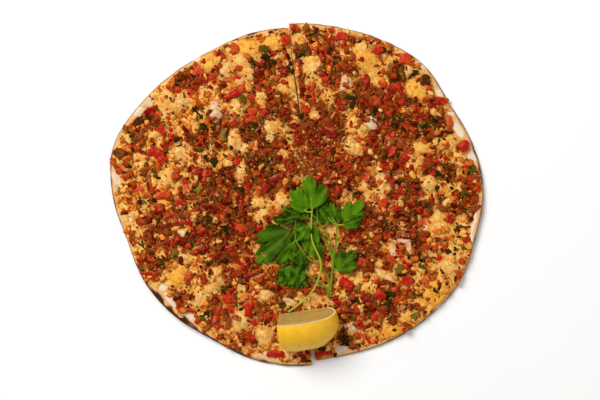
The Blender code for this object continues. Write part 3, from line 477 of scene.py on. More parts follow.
def dough_top(local, served):
    """Height of the dough's upper side."""
    inside = np.maximum(0.0, from_rim(local))
    calm = np.clip(inside / CALM_RIM, 0.0, 1.0)
    lip = RIM_LIP * swell(inside - LIP_INSET, LIP_WIDTH)
    return DOUGH_THICKNESS + relief(served) * calm + lip + curl(local)


def to_served(local, side):
    """Where a place of the uncut round ends up on this side: each half has slid and turned."""
    turn = np.exp(1j * side * math.radians(HALF_TURN))
    return CUT_TOP + turn * (local - CUT_TOP) + 1j * side * HALF_SLIP


def to_local(served, side):
    turn = np.exp(1j * side * math.radians(HALF_TURN))
    return CUT_TOP + (served - 1j * side * HALF_SLIP - CUT_TOP) / turn


def cut_x(y):
    return np.interp(y, KNIFE_Y, KNIFE_X)


def from_cut(local, side):
    """How far from the cut a place is, measured into this half."""
    return side * (local.real - cut_x(local.imag))


def find_shift():
    """Where the middle of the served round is in the frame, from the leftmost point of the solid dough."""
    angles = np.radians(np.arange(0, 360, 360 / 64))
    rim = to_served(polar(edge_radius(angles), angles), -1)
    leftmost = min((point.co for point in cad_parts["dough_left"].data.vertices), key=lambda co: co.x)
    return complex(leftmost.x, leftmost.y) - rim[np.argmin(rim.real)]


SHIFT = find_shift()


# --- How it is baked ------------------------------------------------------------------------------


def from_middle(places, x, y, size_x, size_y, turn):
    """How far places are from the middle of an ellipse, as a share of the way to its edge."""
    away = (places - complex(x, y) * MM) * np.exp(-1j * math.radians(turn)) / (0.5 * MM)
    return np.hypot(away.real / size_x, away.imag / size_y)


def patch(places, x, y, size_x, size_y, turn, soft):
    """How far places are inside a patch: 1 well inside and 0 outside, with an edge this soft."""
    return ease(1 - from_middle(places, x, y, size_x, size_y, turn), -soft, soft)


def ragged(served, amount, length, layer):
    """The same places, each pushed a little, so that patches get uneven edges."""
    return served + amount * (cloud(served, length, layer) + 1j * cloud(served, length, layer + 7))


def gathered(places, rows, grow):
    """How near places are to the pieces in these rows: 1 on a piece, 0 outside its grown ellipse."""
    near = np.zeros(np.shape(places))
    for x, y, size_x, size_y in rows:
        near = np.maximum(near, patch(places, x, y, grow * size_x + 2, grow * size_y + 2, 0, 0.8))
    return near


MARKS = ("pale", "warmth", "mince", "herby", "juicy")


def marks(served):
    """What shows at each place, from 0 to 1: the marks that the topping has, and how bare the dough is."""
    nudged = ragged(served, PATCH_WANDER, PATCH_WANDER_LENGTH, 3.0)
    pale = np.zeros(np.shape(served))
    warmth = np.full(np.shape(served), 0.6)
    for x, y, size_x, size_y, turn, shade in PALE_PATCHES:
        inside = patch(nudged, x, y, 1.2 * size_x, 1.2 * size_y, turn, 0.6)
        warmth = np.where(inside > pale, shade, warmth)
        pale = np.maximum(pale, inside)
    bare = np.zeros(np.shape(served))
    for x, y, size_x, size_y, turn in BARE_PATCHES:
        bare = np.maximum(bare, patch(nudged, x, y, 0.88 * size_x, 0.88 * size_y, turn, 0.4))
    mince = np.zeros(np.shape(served))
    for x, y, size_x, size_y, turn, amount in MINCE_FIELDS:
        mince = np.maximum(mince, amount * patch(nudged, x, y, size_x, size_y, turn, 0.4))
    mince *= 0.4 + 0.6 * ease(edge_radius(np.angle(served)) - np.abs(nudged), 3 * MM, 17 * MM)
    marbled = cloud(nudged, MARBLING_LENGTH, 71.0)
    mince = mince * (1 - 0.6 * ease(marbled, 0.08, 0.32)) + 0.5 * ease(-marbled, 0.1, 0.34) * (1 - mince)
    herby = gathered(nudged, [row[:4] for row in DARK_BITS], 2.3) * (0.4 + 0.6 * mince)
    juicy = gathered(nudged, [row[:4] for row in SCRAPS], 1.9)
    mince = mince * (1 - 0.8 * pale)
    return {"pale": pale, "warmth": warmth, "bare": bare, "mince": mince, "herby": herby, "juicy": juicy}


def browning(local):
    """How dark the rim is baked, from 0 to 1."""
    bearing = np.degrees(np.angle(local))
    inside = from_rim(local) / MM
    toast = 0.42 * ease(1.5 - inside, 0.0, 1.0)
    for at, width, inset, depth, strength in RIM_BROWNING:
        uneven = depth * (1 + 1.1 * cloud(local, 7 * MM, 9.0))
        band = ease(inset + uneven - inside, -0.8, 1.2) * ease(inside - inset, -1.2, 0.6)
        toast = np.maximum(toast, strength * band * ease(swell_round(bearing, at, width), 0.0, 0.5))
    return toast


def topping_edge(local):
    """How far a place is inside the topping's ragged edge."""
    return ragged_radius(np.angle(local)) - np.abs(local)


def topping_top(local, served, shown):
    """Height of the topping's upper side, or below the dough's where the dough is bare."""
    share = np.minimum(1.0, TOPPING_EDGE + np.maximum(0.0, topping_edge(local)) / TOPPING_TAPER)
    clumps = CLUMPS * cloud(served, CLUMP_LENGTH, 1 / CLUMP_LENGTH)
    small_lumps = (0.3 + 0.4 * shown["mince"]) * MM * cloud(served, 2.6 * MM, 4.0)
    lumps = small_lumps + 0.8 * MM * cloud(served, 5.5 * MM, 5.0)
    height = TOPPING_THICKNESS * (share + clumps) + lumps + 0.9 * MM * shown["pale"] - 0.35 * MM
    return dough_top(local, served) + height * (1 - shown["bare"]) - 0.5 * MM * shown["bare"]


# --- Meshes ---------------------------------------------------------------------------------------


def link(name, mesh):
    thing = bpy.data.objects.new(name, mesh)
    bpy.context.scene.collection.objects.link(thing)
    return thing


def select_only(thing):
    bpy.ops.object.select_all(action="DESELECT")
    thing.select_set(True)
    bpy.context.view_layer.objects.active = thing


def get_points(mesh):
    points = np.empty(3 * len(mesh.vertices))
    mesh.vertices.foreach_get("co", points)
    return points.reshape(-1, 3)


def set_points(mesh, points):
    mesh.vertices.foreach_set("co", np.ravel(points))
    mesh.update()


def in_plan(points):
    return points[:, 0] + 1j * points[:, 1]


def in_frame(served, height):
    """Points in the shared frame, from places of the served round and their heights."""
    place = served + SHIFT
    return np.column_stack((place.real, place.imag, height))


def set_values(mesh, name, values):
    """Stores one number for each point of the mesh."""
    attribute = mesh.attributes.get(name) or mesh.attributes.new(name, "FLOAT", "POINT")
    attribute.data.foreach_set("value", np.asarray(values, dtype=np.float32))


def finish_piece(thing, slot, material, *nodes):
    """Gives the piece its material and its body, and hides the solid nodes that it stands in for."""
    thing.data.materials.clear()
    thing.data.materials.append(material)
    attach(thing, "root")
    if nodes:
        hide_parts(*nodes)
    return thing


@contextmanager
def editing(thing, weld):
    """Edit mode with points this near each other welded. At the end every face is turned outwards."""
    select_only(thing)
    bpy.ops.object.mode_set(mode="EDIT")
    bpy.ops.mesh.select_all(action="SELECT")
    bpy.ops.mesh.remove_doubles(threshold=weld)
    yield
    bpy.ops.mesh.select_all(action="SELECT")
    bpy.ops.mesh.normals_make_consistent(inside=False)
    bpy.ops.object.mode_set(mode="OBJECT")


def cut_bearings(radius_of, side):
    """Between which two angles a half's rim lies, going anticlockwise."""
    angles = np.radians(np.arange(-180, 180, 0.02))
    rim = polar(radius_of(angles), angles)
    crossings = np.abs(rim.real - cut_x(rim.imag))
    top = angles[np.argmin(np.where(rim.imag > 0, crossings, 1.0))]
    bottom = angles[np.argmin(np.where(rim.imag < 0, crossings, 1.0))]
    return (bottom, top) if side > 0 else (top, bottom + math.tau)


def add_fan(name, side, radius_of, shares, spokes):
    """Half of a flat round as a fan of faces about a point on the cut, closed with a thin underside.

    Shares are how far the rings are on the way from that point to the rim.
    """
    bpy.ops.object.select_all(action="DESELECT")
    bpy.ops.mesh.primitive_grid_add(x_subdivisions=spokes, y_subdivisions=len(shares) - 1, size=2)
    thing = bpy.context.object
    thing.name = thing.data.name = name
    flat = get_points(thing.data)
    start, end = cut_bearings(radius_of, side)
    angle = start + (end - start) * (flat[:, 0] + 1) / 2
    angle = (angle + math.pi) % math.tau - math.pi
    ring = np.round((flat[:, 1] + 1) / 2 * (len(shares) - 1)).astype(int)
    share = np.asarray(shares)[ring]
    rim = polar(radius_of(angle), angle)
    # In the plan with the cut straightened, so that the first and last spoke follow the knife.
    across = share * (rim.real - cut_x(rim.imag))
    across[(flat[:, 0] < -1 + 1e-6) | (flat[:, 0] > 1 - 1e-6)] = 0.0
    y = CUT_MIDDLE_Y + share * (rim.imag - CUT_MIDDLE_Y)
    x = across + cut_x(y)
    set_points(thing.data, np.column_stack((x, y, np.zeros(len(x)))))
    with editing(thing, weld=1e-6):
        bpy.ops.mesh.extrude_region_move(TRANSFORM_OT_translate={"value": (0, 0, -UNDERSIDE)})
    bpy.ops.object.shade_smooth_by_angle(angle=math.radians(50))
    return thing


def draw_together(served, side):
    """Closes the cut where baking and juice closed it again: both edges wander alike and nearly touch."""
    away = from_cut(to_local(served, side), side)
    middle = cut_x(served.imag)
    gap = side * (to_served(middle + 1j * served.imag, side).real - middle)
    along = 1j * served.imag
    wander = 0.8 * MM * cloud(along, 5 * MM, 6.0) + 0.3 * MM * cloud(along, 1.5 * MM, 6.5)
    push = wander - side * np.maximum(0.0, gap - 0.08 * MM)
    return served + push * between(served.imag, *CUT_CLOSED) * swell(away, 3.5 * MM)


def mould_fan(thing, side, top, bottom, keep=()):
    """Lifts the flat fan to the heights that top and bottom give, and moves it to where it is served."""
    points = get_points(thing.data)
    local = in_plan(points)
    served = to_served(local, side)
    upper = points[:, 2] > -0.5 * UNDERSIDE
    height = np.where(upper, top(local, served), bottom(local, served))
    set_points(thing.data, in_frame(draw_together(served, side), height))
    for name, value in keep:
        set_values(thing.data, name, value(local, served, upper))
    return thing


def rim_shares(spacings):
    """Shares of the radius for rings that are this far apart in mm, from the rim inwards."""
    shares = 1 - np.cumsum(spacings) * MM / MEAN_RADIUS
    return shares[::-1]


# --- Materials ------------------------------------------------------------------------------------


def srgb(red, green, blue):
    """A colour given from 0 to 255 as screens show it, as light."""
    shares = (value / 255 for value in (red, green, blue))
    return tuple(v / 12.92 if v <= 0.04045 else ((v + 0.055) / 1.055) ** 2.4 for v in shares)


def colour_of(name):
    return tuple(getattr(bpy.context.scene.lahmacun_looks, name))


def set_inputs(tree, node, inputs):
    """Gives the node's inputs a number, a colour, the name of a colour, or what another node puts out."""
    for name, value in inputs.items():
        socket = node.inputs[name]
        value = colour_of(value) if isinstance(value, str) else getattr(value, "socket", value)
        if isinstance(value, bpy.types.NodeSocket):
            tree.links.new(value, socket)
        elif hasattr(value, "__len__") and len(value) == 3 and len(socket.default_value) == 4:
            socket.default_value = (*value, 1.0)
        else:
            socket.default_value = value


def add_node(tree, kind, inputs=None, **settings):
    """A node with these settings and inputs."""
    node = tree.nodes.new(kind)
    for name, value in settings.items():
        setattr(node, name, value)
    set_inputs(tree, node, inputs or {})
    return node


def reckon(tree, operation, first, second=0.0):
    node = add_node(tree, "ShaderNodeMath", {0: first, 1: second}, operation=operation)
    return Output(tree, node.outputs[0])


class Output:
    """What a node puts out. A sum or a product with it adds the node that works it out."""

    def __init__(self, tree, socket):
        self.tree = tree
        self.socket = socket

    def __add__(self, other):
        return reckon(self.tree, "ADD", self, other)

    def __sub__(self, other):
        return reckon(self.tree, "SUBTRACT", self, other)

    def __rsub__(self, other):
        return reckon(self.tree, "SUBTRACT", other, self)

    def __mul__(self, other):
        return reckon(self.tree, "MULTIPLY", self, other)

    def stretch(self, low, high, to_low=0.0, to_high=1.0):
        """What lies from low to high, stretched smoothly to another range."""
        inputs = {0: self, 1: low, 2: high, 3: to_low, 4: to_high}
        node = add_node(self.tree, "ShaderNodeMapRange", inputs, interpolation_type="SMOOTHSTEP")
        return Output(self.tree, node.outputs[0])


def mix(tree, factor, first, second):
    """Second over first, by factor."""
    node = add_node(tree, "ShaderNodeMix", {0: factor, 6: first, 7: second}, data_type="RGBA")
    return node.outputs[2]


def read(tree, name):
    """A mesh attribute's number."""
    return Output(tree, add_node(tree, "ShaderNodeAttribute", attribute_name=name).outputs["Fac"])


def new_group(name, inputs, outputs):
    """A node group: name, kind and default for each input, name and kind for each output."""
    tree = bpy.data.node_groups.new(name, "ShaderNodeTree")
    for socket, kind, default in inputs:
        made = tree.interface.new_socket(socket, in_out="INPUT", socket_type="NodeSocket" + kind)
        if default is not None:
            made.default_value = (*default, 1.0) if kind == "Color" else default
    for socket, kind in outputs:
        tree.interface.new_socket(socket, in_out="OUTPUT", socket_type="NodeSocket" + kind)
    return tree, tree.nodes.new("NodeGroupInput").outputs, tree.nodes.new("NodeGroupOutput")


def speckle_group(name):
    """Cloudy and spotted masks that break up the edges of every other mask."""
    tree, given, out = new_group(
        name,
        (
            ("Vector", "Vector", None),
            ("Length", "Float", 0.004),
            ("Low", "Float", 0.4),
            ("High", "Float", 0.6),
        ),
        (("Mask", "Float"), ("Noise", "Float")),
    )
    scale = reckon(tree, "DIVIDE", 1.0, given["Length"])
    settings = {"Detail": 4.0, "Roughness": 0.6, "Distortion": 0.4}
    node = add_node(tree, "ShaderNodeTexNoise", {"Vector": given["Vector"], "Scale": scale, **settings})
    cloudy = Output(tree, node.outputs["Fac"])
    set_inputs(tree, out, {"Mask": cloudy.stretch(given["Low"], given["High"]), "Noise": cloudy})
    return tree


def browning_group(name):
    """Dough that bakes from pale through golden and brown to charred."""
    tree, given, out = new_group(
        name,
        (
            ("Amount", "Float", 0.0),
            ("Dough", "Color", (0.8, 0.7, 0.55)),
            ("Golden", "Color", (0.7, 0.4, 0.15)),
            ("Brown", "Color", (0.25, 0.08, 0.02)),
            ("Char", "Color", (0.03, 0.01, 0.005)),
        ),
        (("Color", "Color"),),
    )
    amount = Output(tree, given["Amount"])
    colour = mix(tree, amount.stretch(0.05, 0.40), given["Dough"], given["Golden"])
    colour = mix(tree, amount.stretch(0.35, 0.70), colour, given["Brown"])
    colour = mix(tree, amount.stretch(0.68, 1.0), colour, given["Char"])
    set_inputs(tree, out, {"Color": colour})
    return tree


def mosaic_group(name):
    """Uneven cells, each with its own random value, and their height as lumps."""
    tree, given, out = new_group(
        name,
        (("Vector", "Vector", None), ("Length", "Float", 0.003), ("Waver", "Float", 0.6)),
        (("Value", "Float"), ("Height", "Float")),
    )

    def move(operation, first, second):
        return add_node(tree, "ShaderNodeVectorMath", {0: first, **second}, operation=operation).outputs[0]

    scale = reckon(tree, "DIVIDE", 1.0, given["Length"])
    inputs = {"Vector": given["Vector"], "Scale": scale, "Detail": 2.0}
    waver = add_node(tree, "ShaderNodeTexNoise", inputs).outputs["Color"]
    reach = reckon(tree, "MULTIPLY", given["Length"], given["Waver"])
    push = move("SCALE", move("SUBTRACT", waver, {1: (0.5, 0.5, 0.5)}), {"Scale": reach})
    moved = move("ADD", given["Vector"], {1: push})
    cells = add_node(tree, "ShaderNodeTexVoronoi", {"Vector": moved, "Scale": scale}).outputs
    parts = add_node(tree, "ShaderNodeSeparateColor", {0: cells["Color"]}).outputs
    set_inputs(tree, out, {"Value": parts[0], "Height": 1.0 - Output(tree, cells["Distance"])})
    return tree


def add_group(tree, name, build, inputs):
    """What the group of this name puts out, by name. Build makes the group the first time."""
    group = bpy.data.node_groups.get(name) or build(name)
    node = add_node(tree, "ShaderNodeGroup", inputs, node_tree=group)
    return {output.name: Output(tree, output) for output in node.outputs}


def speckle(tree, vector, length, low, high):
    """A mask of spots of this length in metres, and the noise under it."""
    inputs = {"Vector": vector, "Length": length, "Low": low, "High": high}
    return add_group(tree, "Speckle", speckle_group, inputs)


def mosaic(tree, vector, length, waver):
    inputs = {"Vector": vector, "Length": length, "Waver": waver}
    return add_group(tree, "Mosaic", mosaic_group, inputs)


def ramp(tree, value, *stops):
    """Colours by value, from pairs of a position and the name of a colour."""
    node = add_node(tree, "ShaderNodeValToRGB", {0: value})
    colours = node.color_ramp.elements
    while len(colours) < len(stops):
        colours.new(0.5)
    for element, (position, name) in zip(colours, stops):
        element.position = position
        element.color = (*colour_of(name), 1.0)
    return node.outputs["Color"]


def new_material(name, roughness, specular):
    """A material, its tree, its shader and where on the object it is."""
    material = bpy.data.materials.new(name)
    material.use_nodes = True
    tree = material.node_tree
    shader = tree.nodes["Principled BSDF"]
    set_inputs(tree, shader, {"Roughness": roughness, "Specular IOR Level": specular})
    place = tree.nodes.new("ShaderNodeTexCoord").outputs["Object"]
    return material, tree, shader, place


def glow(shader, weight, *radius):
    """Lets light sink in, this far for each of red, green and blue."""
    shader.inputs["Subsurface Weight"].default_value = weight
    shader.inputs["Subsurface Radius"].default_value = radius


def add_bump(tree, shader, height, distance, strength):
    inputs = {"Height": height, "Distance": distance, "Strength": strength}
    bump = add_node(tree, "ShaderNodeBump", inputs)
    set_inputs(tree, shader, {"Normal": bump.outputs["Normal"]})


def dough_material():
    """Pale floured dough that the oven browned at its rim and spotted underneath."""
    material, tree, shader, place = new_material("baked_dough", 0.85, 0.08)
    fine = speckle(tree, place, 0.0030, 0.42, 0.60)
    wide = speckle(tree, place, 0.011, 0.45, 0.62)
    toast = read(tree, "toast")
    at_rim = toast * (fine["Noise"] * 1.5 + 0.25)
    below = read(tree, "under") * (wide["Mask"] * 0.62)
    inputs = {
        "Amount": reckon(tree, "MAXIMUM", at_rim, below) + wide["Noise"] * 0.22,
        "Dough": "dough",
        "Golden": "crust",
        "Brown": "toasted",
        "Char": "char",
    }
    baked = add_group(tree, "Baking", browning_group, inputs)["Color"]
    bare = (read(tree, "bare") + wide["Noise"] * 0.5).stretch(0.35, 0.7)
    flour = (fine["Mask"] * 0.3 + bare * 0.7) * (1.0 - toast)
    set_inputs(tree, shader, {"Base Color": mix(tree, flour, baked, "flour")})
    glow(shader, 0.15, 0.002, 0.0014, 0.0008)
    add_bump(tree, shader, fine["Noise"], 0.0004, 0.6)
    return material


def topping_material():
    """Oily baked paste full of bits: golden and orange, brown where the mince is thick, cream on blisters."""
    material, tree, shader, place = new_material("baked_topping", 0.5, 0.05)
    fine = speckle(tree, place, 0.0016, 0.44, 0.58)["Noise"]
    spots = speckle(tree, place, 0.0034, 0.46, 0.58)
    drift = speckle(tree, place, 0.0065, 0.4, 0.6)["Noise"]
    wide = speckle(tree, place, 0.010, 0.42, 0.60)["Noise"]
    small = mosaic(tree, place, 0.0022, 1.0)
    large = mosaic(tree, place, 0.0048, 1.0)
    pale, warmth, mince, herby, juicy = (read(tree, name) for name in MARKS)

    soft = spots["Noise"] * 0.5 + drift * 0.5 + (small["Value"] - 0.5) * 0.10
    stops = ((0.37, "stained"), (0.43, "oily"), (0.49, "golden"), (0.56, "cream"), (0.66, "yellow"))
    thin = ramp(tree, soft, *stops)
    pick = small["Value"] * 0.40 + large["Value"] * 0.60 + (drift - 0.5) * 0.9
    thick = ramp(
        tree,
        pick,
        (0.15, "dark_paste_and_shade"),
        (0.34, "paste"),
        (0.47, "meat_olive"),
        (0.60, "meat_light"),
        (0.72, "stained"),
        (0.88, "dark_paste_and_shade"),
    )
    amount = mince + (spots["Noise"] - 0.5) * 1.6
    base = mix(tree, amount.stretch(0.15, 0.55), thin, thick)
    base = mix(tree, juicy * drift.stretch(0.38, 0.6, 0.15, 0.75), base, "stained")
    base = mix(tree, herby * spots["Noise"].stretch(0.36, 0.6, 0.9, 0.2), base, "dark_paste_and_shade")

    cream = mix(tree, warmth.stretch(0.0, 0.55), "whitish", "cream")
    cream = mix(tree, warmth.stretch(0.6, 1.15), cream, "yellow")
    cream = mix(tree, large["Value"].stretch(0.3, 1.0, 0.0, 0.75), cream, "golden")
    cream = mix(tree, spots["Mask"] * 0.42, cream, "oily")
    shows = (spots["Noise"] - 0.5) * 0.9 + (wide - 0.5) * 1.1 + pale * 0.95
    colour = mix(tree, shows.stretch(0.18, 0.80), base, cream)
    # Painted shade: where the fine noise dips, which is where the bump sinks too, the colour goes toward dark
    # paste as shade in the crevices.
    colour = mix(tree, fine.stretch(0.36, 0.26, 0.0, 0.55), colour, "dark_paste_and_shade")

    roughness = spots["Noise"].stretch(0.35, 0.65, 0.34, 0.62)
    set_inputs(tree, shader, {"Base Color": colour, "Roughness": roughness})
    glow(shader, 0.1, 0.0022, 0.0012, 0.0006)
    lumpy = (small["Height"] + large["Height"] * 1.2) * amount.stretch(0.1, 0.6, 0.3, 1.0)
    add_bump(tree, shader, lumpy + fine, 0.0008, 0.9)
    return material


def toned_material(name, colours, roughness, specular, spotted, length, bump=0.0003, film=0.0, creep_and_shade=0.85):
    """A finish for scattered pieces: each piece's tone picks among the colours, and small spots vary it.

    Film is how much of the paste lies on it in patches. Creep is how much of it hides the lower parts, partly
    as paste that clings and partly as painted shade where each piece meets the topping.
    """
    material, tree, shader, place = new_material(name, roughness, specular)
    fine = speckle(tree, place, length, 0.42, 0.62)["Noise"]
    tone = read(tree, "tone") + (fine - 0.5) * spotted
    colour = colours[0]
    steps = len(colours) - 1
    for step, following in enumerate(colours[1:]):
        colour = mix(tree, tone.stretch(step / steps, (step + 1) / steps), colour, following)
    # Painted shade: the lower part of each piece goes toward the oil or paste under it, partly paste that
    # clings and partly shade where it meets the topping.
    ground_and_shade = mix(tree, read(tree, "bed"), "oily", "paste")
    rise = read(tree, "rise") + (fine - 0.5) * 0.5
    colour = mix(tree, rise.stretch(0.42, 0.76, 1.0 - creep_and_shade, 1.0), ground_and_shade, colour)
    if film:
        oily = speckle(tree, place, 0.0042, 0.47, 0.62)["Mask"]
        colour = mix(tree, oily * film, colour, "oily")
        dark = speckle(tree, place, 0.0031, 0.52, 0.66)["Mask"]
        colour = mix(tree, dark * (0.8 * film), colour, "paste")
    set_inputs(tree, shader, {"Base Color": colour})
    add_bump(tree, shader, fine, bump, 0.8)
    return material


def lemon_material():
    """Waxy peel with pores, a band of pith, and flesh in streaks."""
    material, tree, shader, place = new_material("lemon_wedge", 0.38, 0.3)
    inside = add_node(tree, "ShaderNodeAttribute", attribute_name="in_lemon").outputs["Vector"]
    parts = add_node(tree, "ShaderNodeSeparateXYZ", {0: inside}).outputs
    x, y, z = (Output(tree, part) for part in parts)
    share = reckon(tree, "ABSOLUTE", reckon(tree, "DIVIDE", x, LEMON_HALF_LENGTH))
    along = reckon(tree, "POWER", share, LEMON_BLUNTNESS[0])
    width = reckon(tree, "SQRT", reckon(tree, "MAXIMUM", 1.0 - along, 0.0))
    out = reckon(tree, "SQRT", y * y + z * z)
    depth = width * LEMON_RADIUS - out
    around = reckon(tree, "ARCTAN2", z, y) * (LEMON_SEGMENTS / math.tau)
    off_middle = reckon(tree, "ABSOLUTE", reckon(tree, "FRACT", around) - 0.5)
    wall = (0.5 - off_middle) * (out * (1 / MM))

    wide = speckle(tree, place, 0.009, 0.4, 0.65)["Mask"]
    drawn = add_node(tree, "ShaderNodeMapping", {"Vector": place, "Scale": (0.35, 1.2, 1.0)})
    streaks = speckle(tree, drawn.outputs[0], 0.0016, 0.40, 0.62)
    peel = mix(tree, wide * 0.6, "peel", "peel_bright")
    flesh = mix(tree, streaks["Mask"] * 0.5, "flesh", "flesh_dark")
    flesh = mix(tree, wall.stretch(0.35, 0.05, 0.0, 0.6), flesh, "pith")
    uneven = (streaks["Noise"] - 0.5) * 0.0012
    colour = mix(tree, depth.stretch(0.0006, 0.0011), peel, "pith")
    colour = mix(tree, (depth + uneven).stretch(0.0022, 0.0032), colour, flesh)
    roughness = depth.stretch(0.002, 0.003, 0.38, 0.22)
    set_inputs(tree, shader, {"Base Color": colour, "Roughness": roughness})
    glow(shader, 0.25, 0.004, 0.003, 0.001)
    pores = add_node(tree, "ShaderNodeTexVoronoi", {"Vector": place, "Scale": 750.0})
    dimples = Output(tree, pores.outputs["Distance"]) * depth.stretch(0.0005, 0.001, 1.0, 0.0)
    ripple = streaks["Noise"] * depth.stretch(0.002, 0.003)
    add_bump(tree, shader, dimples + ripple, 0.00035, 0.7)
    return material


def parsley_material():
    """Leaf green, lighter along the veins and on young leaves, with painted light and shade by each leaf's
    paleness, and yellow-green stems.
    """
    material, tree, shader, place = new_material("parsley_leaf", 0.5, 0.04)
    wide = speckle(tree, place, 0.006, 0.40, 0.62)["Noise"]
    fine = speckle(tree, place, 0.0012, 0.42, 0.60)
    pale, vein, on_stem = (read(tree, name) for name in ("pale", "vein", "stem"))
    # Painted light and shade: each leaf's paleness picks between dark and light leaf, so lit leaves are paler
    # and shaded ones darker.
    leaf = mix(tree, (pale + wide * 0.5).stretch(0.25, 1.15), "leaf_dark", "leaf_lit_and_young")
    leaf = mix(tree, fine["Mask"] * 0.25, leaf, "leaf_dark")
    leaf = mix(tree, vein * 0.32, leaf, "vein")
    stem = mix(tree, pale.stretch(0.0, 1.0), "stem", "stem_pale")
    set_inputs(tree, shader, {"Base Color": mix(tree, on_stem, leaf, stem)})
    glow(shader, 0.12, 0.0006, 0.0012, 0.0003)
    add_bump(tree, shader, fine["Noise"] - vein * 0.45, 0.00035, 0.7)
    return material


def floor_material():
    """A plain pale floor."""
    material, tree, shader, place = new_material("pale_floor", 0.9, 0.1)
    wide = speckle(tree, place, 0.4, 0.3, 0.7)["Mask"]
    darker = tuple(0.99 * v for v in colour_of("floor"))
    set_inputs(tree, shader, {"Base Color": mix(tree, wide, "floor", darker)})
    return material


# --- The bread and the topping --------------------------------------------------------------------


def bread_radius(angle):
    """The edge of the dough, with small waves."""
    rim = polar(edge_radius(angle), angle)
    return edge_radius(angle) + 0.35 * MM * cloud(rim, 7 * MM, 1.0) + 0.15 * MM * cloud(rim, 2 * MM, 1.5)


def rounded(local):
    """0 at the very edge of the dough, 1 where its edge stops rounding off."""
    inside = bread_radius(np.angle(local)) - np.abs(local)
    return np.sqrt(1 - (1 - np.clip(inside / EDGE_ROUND, 0.03, 1.0)) ** 2)


def add_bread(name, side, spokes):
    at_rim = (0, 0.12, 0.25, 0.4, 0.6, 0.8, 1.0, 1.2, 1.5)
    further_in = (2, 2, 2.5, 3, 3.5, 4, 5, 6, 8, 10, 12, 12, 14, 14, 16)
    shares = [0.0, *rim_shares(at_rim + further_in)]
    thing = add_fan("bread_" + name, side, bread_radius, shares, spokes)

    def top(local, served):
        middle = curl(local) + EDGE_LINE * DOUGH_THICKNESS
        uneven = 0.18 * MM * cloud(served, 4 * MM, 8.0)
        return middle + (dough_top(local, served) + uneven - middle) * rounded(local)

    def bottom(local, served):
        return curl(local) + EDGE_LINE * DOUGH_THICKNESS * (1 - rounded(local))

    keep = (
        ("toast", lambda local, served, upper: browning(local)),
        ("under", lambda local, served, upper: np.where(upper, 0.0, 1.0)),
        ("bare", lambda local, served, upper: marks(served)["bare"]),
    )
    return mould_fan(thing, side, top, bottom, keep)


def add_topping(name, side, spokes, ring_gap):
    finer_from = MEAN_RADIUS - 0.012
    inner = np.arange(0.0, finer_from, ring_gap * 1.25)
    outer = np.arange(finer_from, MEAN_RADIUS - 0.2 * ring_gap, ring_gap * 0.7)
    shares = [*(inner / MEAN_RADIUS), *(outer / MEAN_RADIUS), 1.0]
    thing = add_fan("baked_topping_" + name, side, ragged_radius, shares, spokes)
    found = {}

    def shown(served):
        """The marks, worked out once, because every call gives the same places."""
        if not found:
            found.update(marks(served))
        return found

    def top(local, served):
        edge = ease(topping_edge(local), 0.0, 1.5 * MM)
        lower = dough_top(local, served) - 0.6 * MM
        return lower + (topping_top(local, served, shown(served)) - lower) * (0.35 + 0.65 * edge)

    def bottom(local, served):
        return dough_top(local, served) - 1.1 * MM

    keep = [(mark, lambda local, served, upper, mark=mark: shown(served)[mark]) for mark in MARKS]
    return mould_fan(thing, side, top, bottom, keep)


# --- What is strewn over the topping --------------------------------------------------------------


def rounded_off(places):
    """The same places, with the corners of their rough rectangle drawn in to an ellipse."""
    away = places - places.mean()
    along = np.exp(0.5j * np.angle(np.sum(away**2)))
    away = away / along
    half_x, half_y = 0.5 * np.ptp(away.real), 0.5 * np.ptp(away.imag)
    x, y = away.real / half_x, away.imag / half_y
    drawn_x = x * np.sqrt(np.maximum(0, 1 - y * y / 2)) * half_x
    drawn_y = y * np.sqrt(np.maximum(0, 1 - x * x / 2)) * half_y
    return places.mean() + (drawn_x + 1j * drawn_y) * along


def add_diced(node_name, slot, material, chance):
    """A diced piece: the solid's own mesh, softened and made uneven, and pressed into the topping."""
    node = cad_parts[node_name]
    kind, number = node_name.rsplit("_", 1)
    thing = link(f"{kind}_dice_{number}", node.data.copy())
    thing.data.name = thing.name
    with editing(thing, weld=2e-5):
        bpy.ops.mesh.tris_convert_to_quads()
    smooth = thing.modifiers.new("soften", "SUBSURF")
    smooth.levels = smooth.render_levels = 2
    bpy.ops.object.modifier_apply(modifier=smooth.name)
    points = get_points(thing.data)
    middle = points.mean(axis=0)
    places = in_plan(points)
    layer = chance.uniform(0, 50)
    reach, grow = (1.9, 1.22) if slot == "burnt_mince" else (2.3, 1.02)
    if slot == "burnt_mince":
        places = rounded_off(places)
        points[:, 0], points[:, 1] = places.real, places.imag
    push = reach * MM * (cloud(places, 4.5 * MM, layer) + 1j * cloud(places, 4.5 * MM, layer + 9))
    push += 0.8 * MM * (cloud(places, 1.9 * MM, layer) + 1j * cloud(places, 1.7 * MM, layer + 9))
    lift = 0.8 * MM * cloud(places, 2.6 * MM, layer + 20)
    depth = points[:, 2] - points[:, 2].min()
    points[:, 0] += push.real
    points[:, 1] += push.imag
    points[:, 2] += lift * depth / depth.max() - DICE_SINK
    points[:, :2] = middle[:2] + grow * (points[:, :2] - middle[:2])
    set_points(thing.data, in_frame(keep_on_bread(in_plan(points) - SHIFT, 0.0), points[:, 2]))
    bed = marks(np.array([complex(middle[0], middle[1]) - SHIFT]))["mince"][0]
    set_values(thing.data, "tone", np.full(len(points), chance.uniform(0, 1)))
    set_values(thing.data, "bed", np.full(len(points), bed))
    set_values(thing.data, "rise", depth / depth.max())
    bpy.ops.object.shade_smooth()
    return finish_piece(thing, slot, material, node_name)


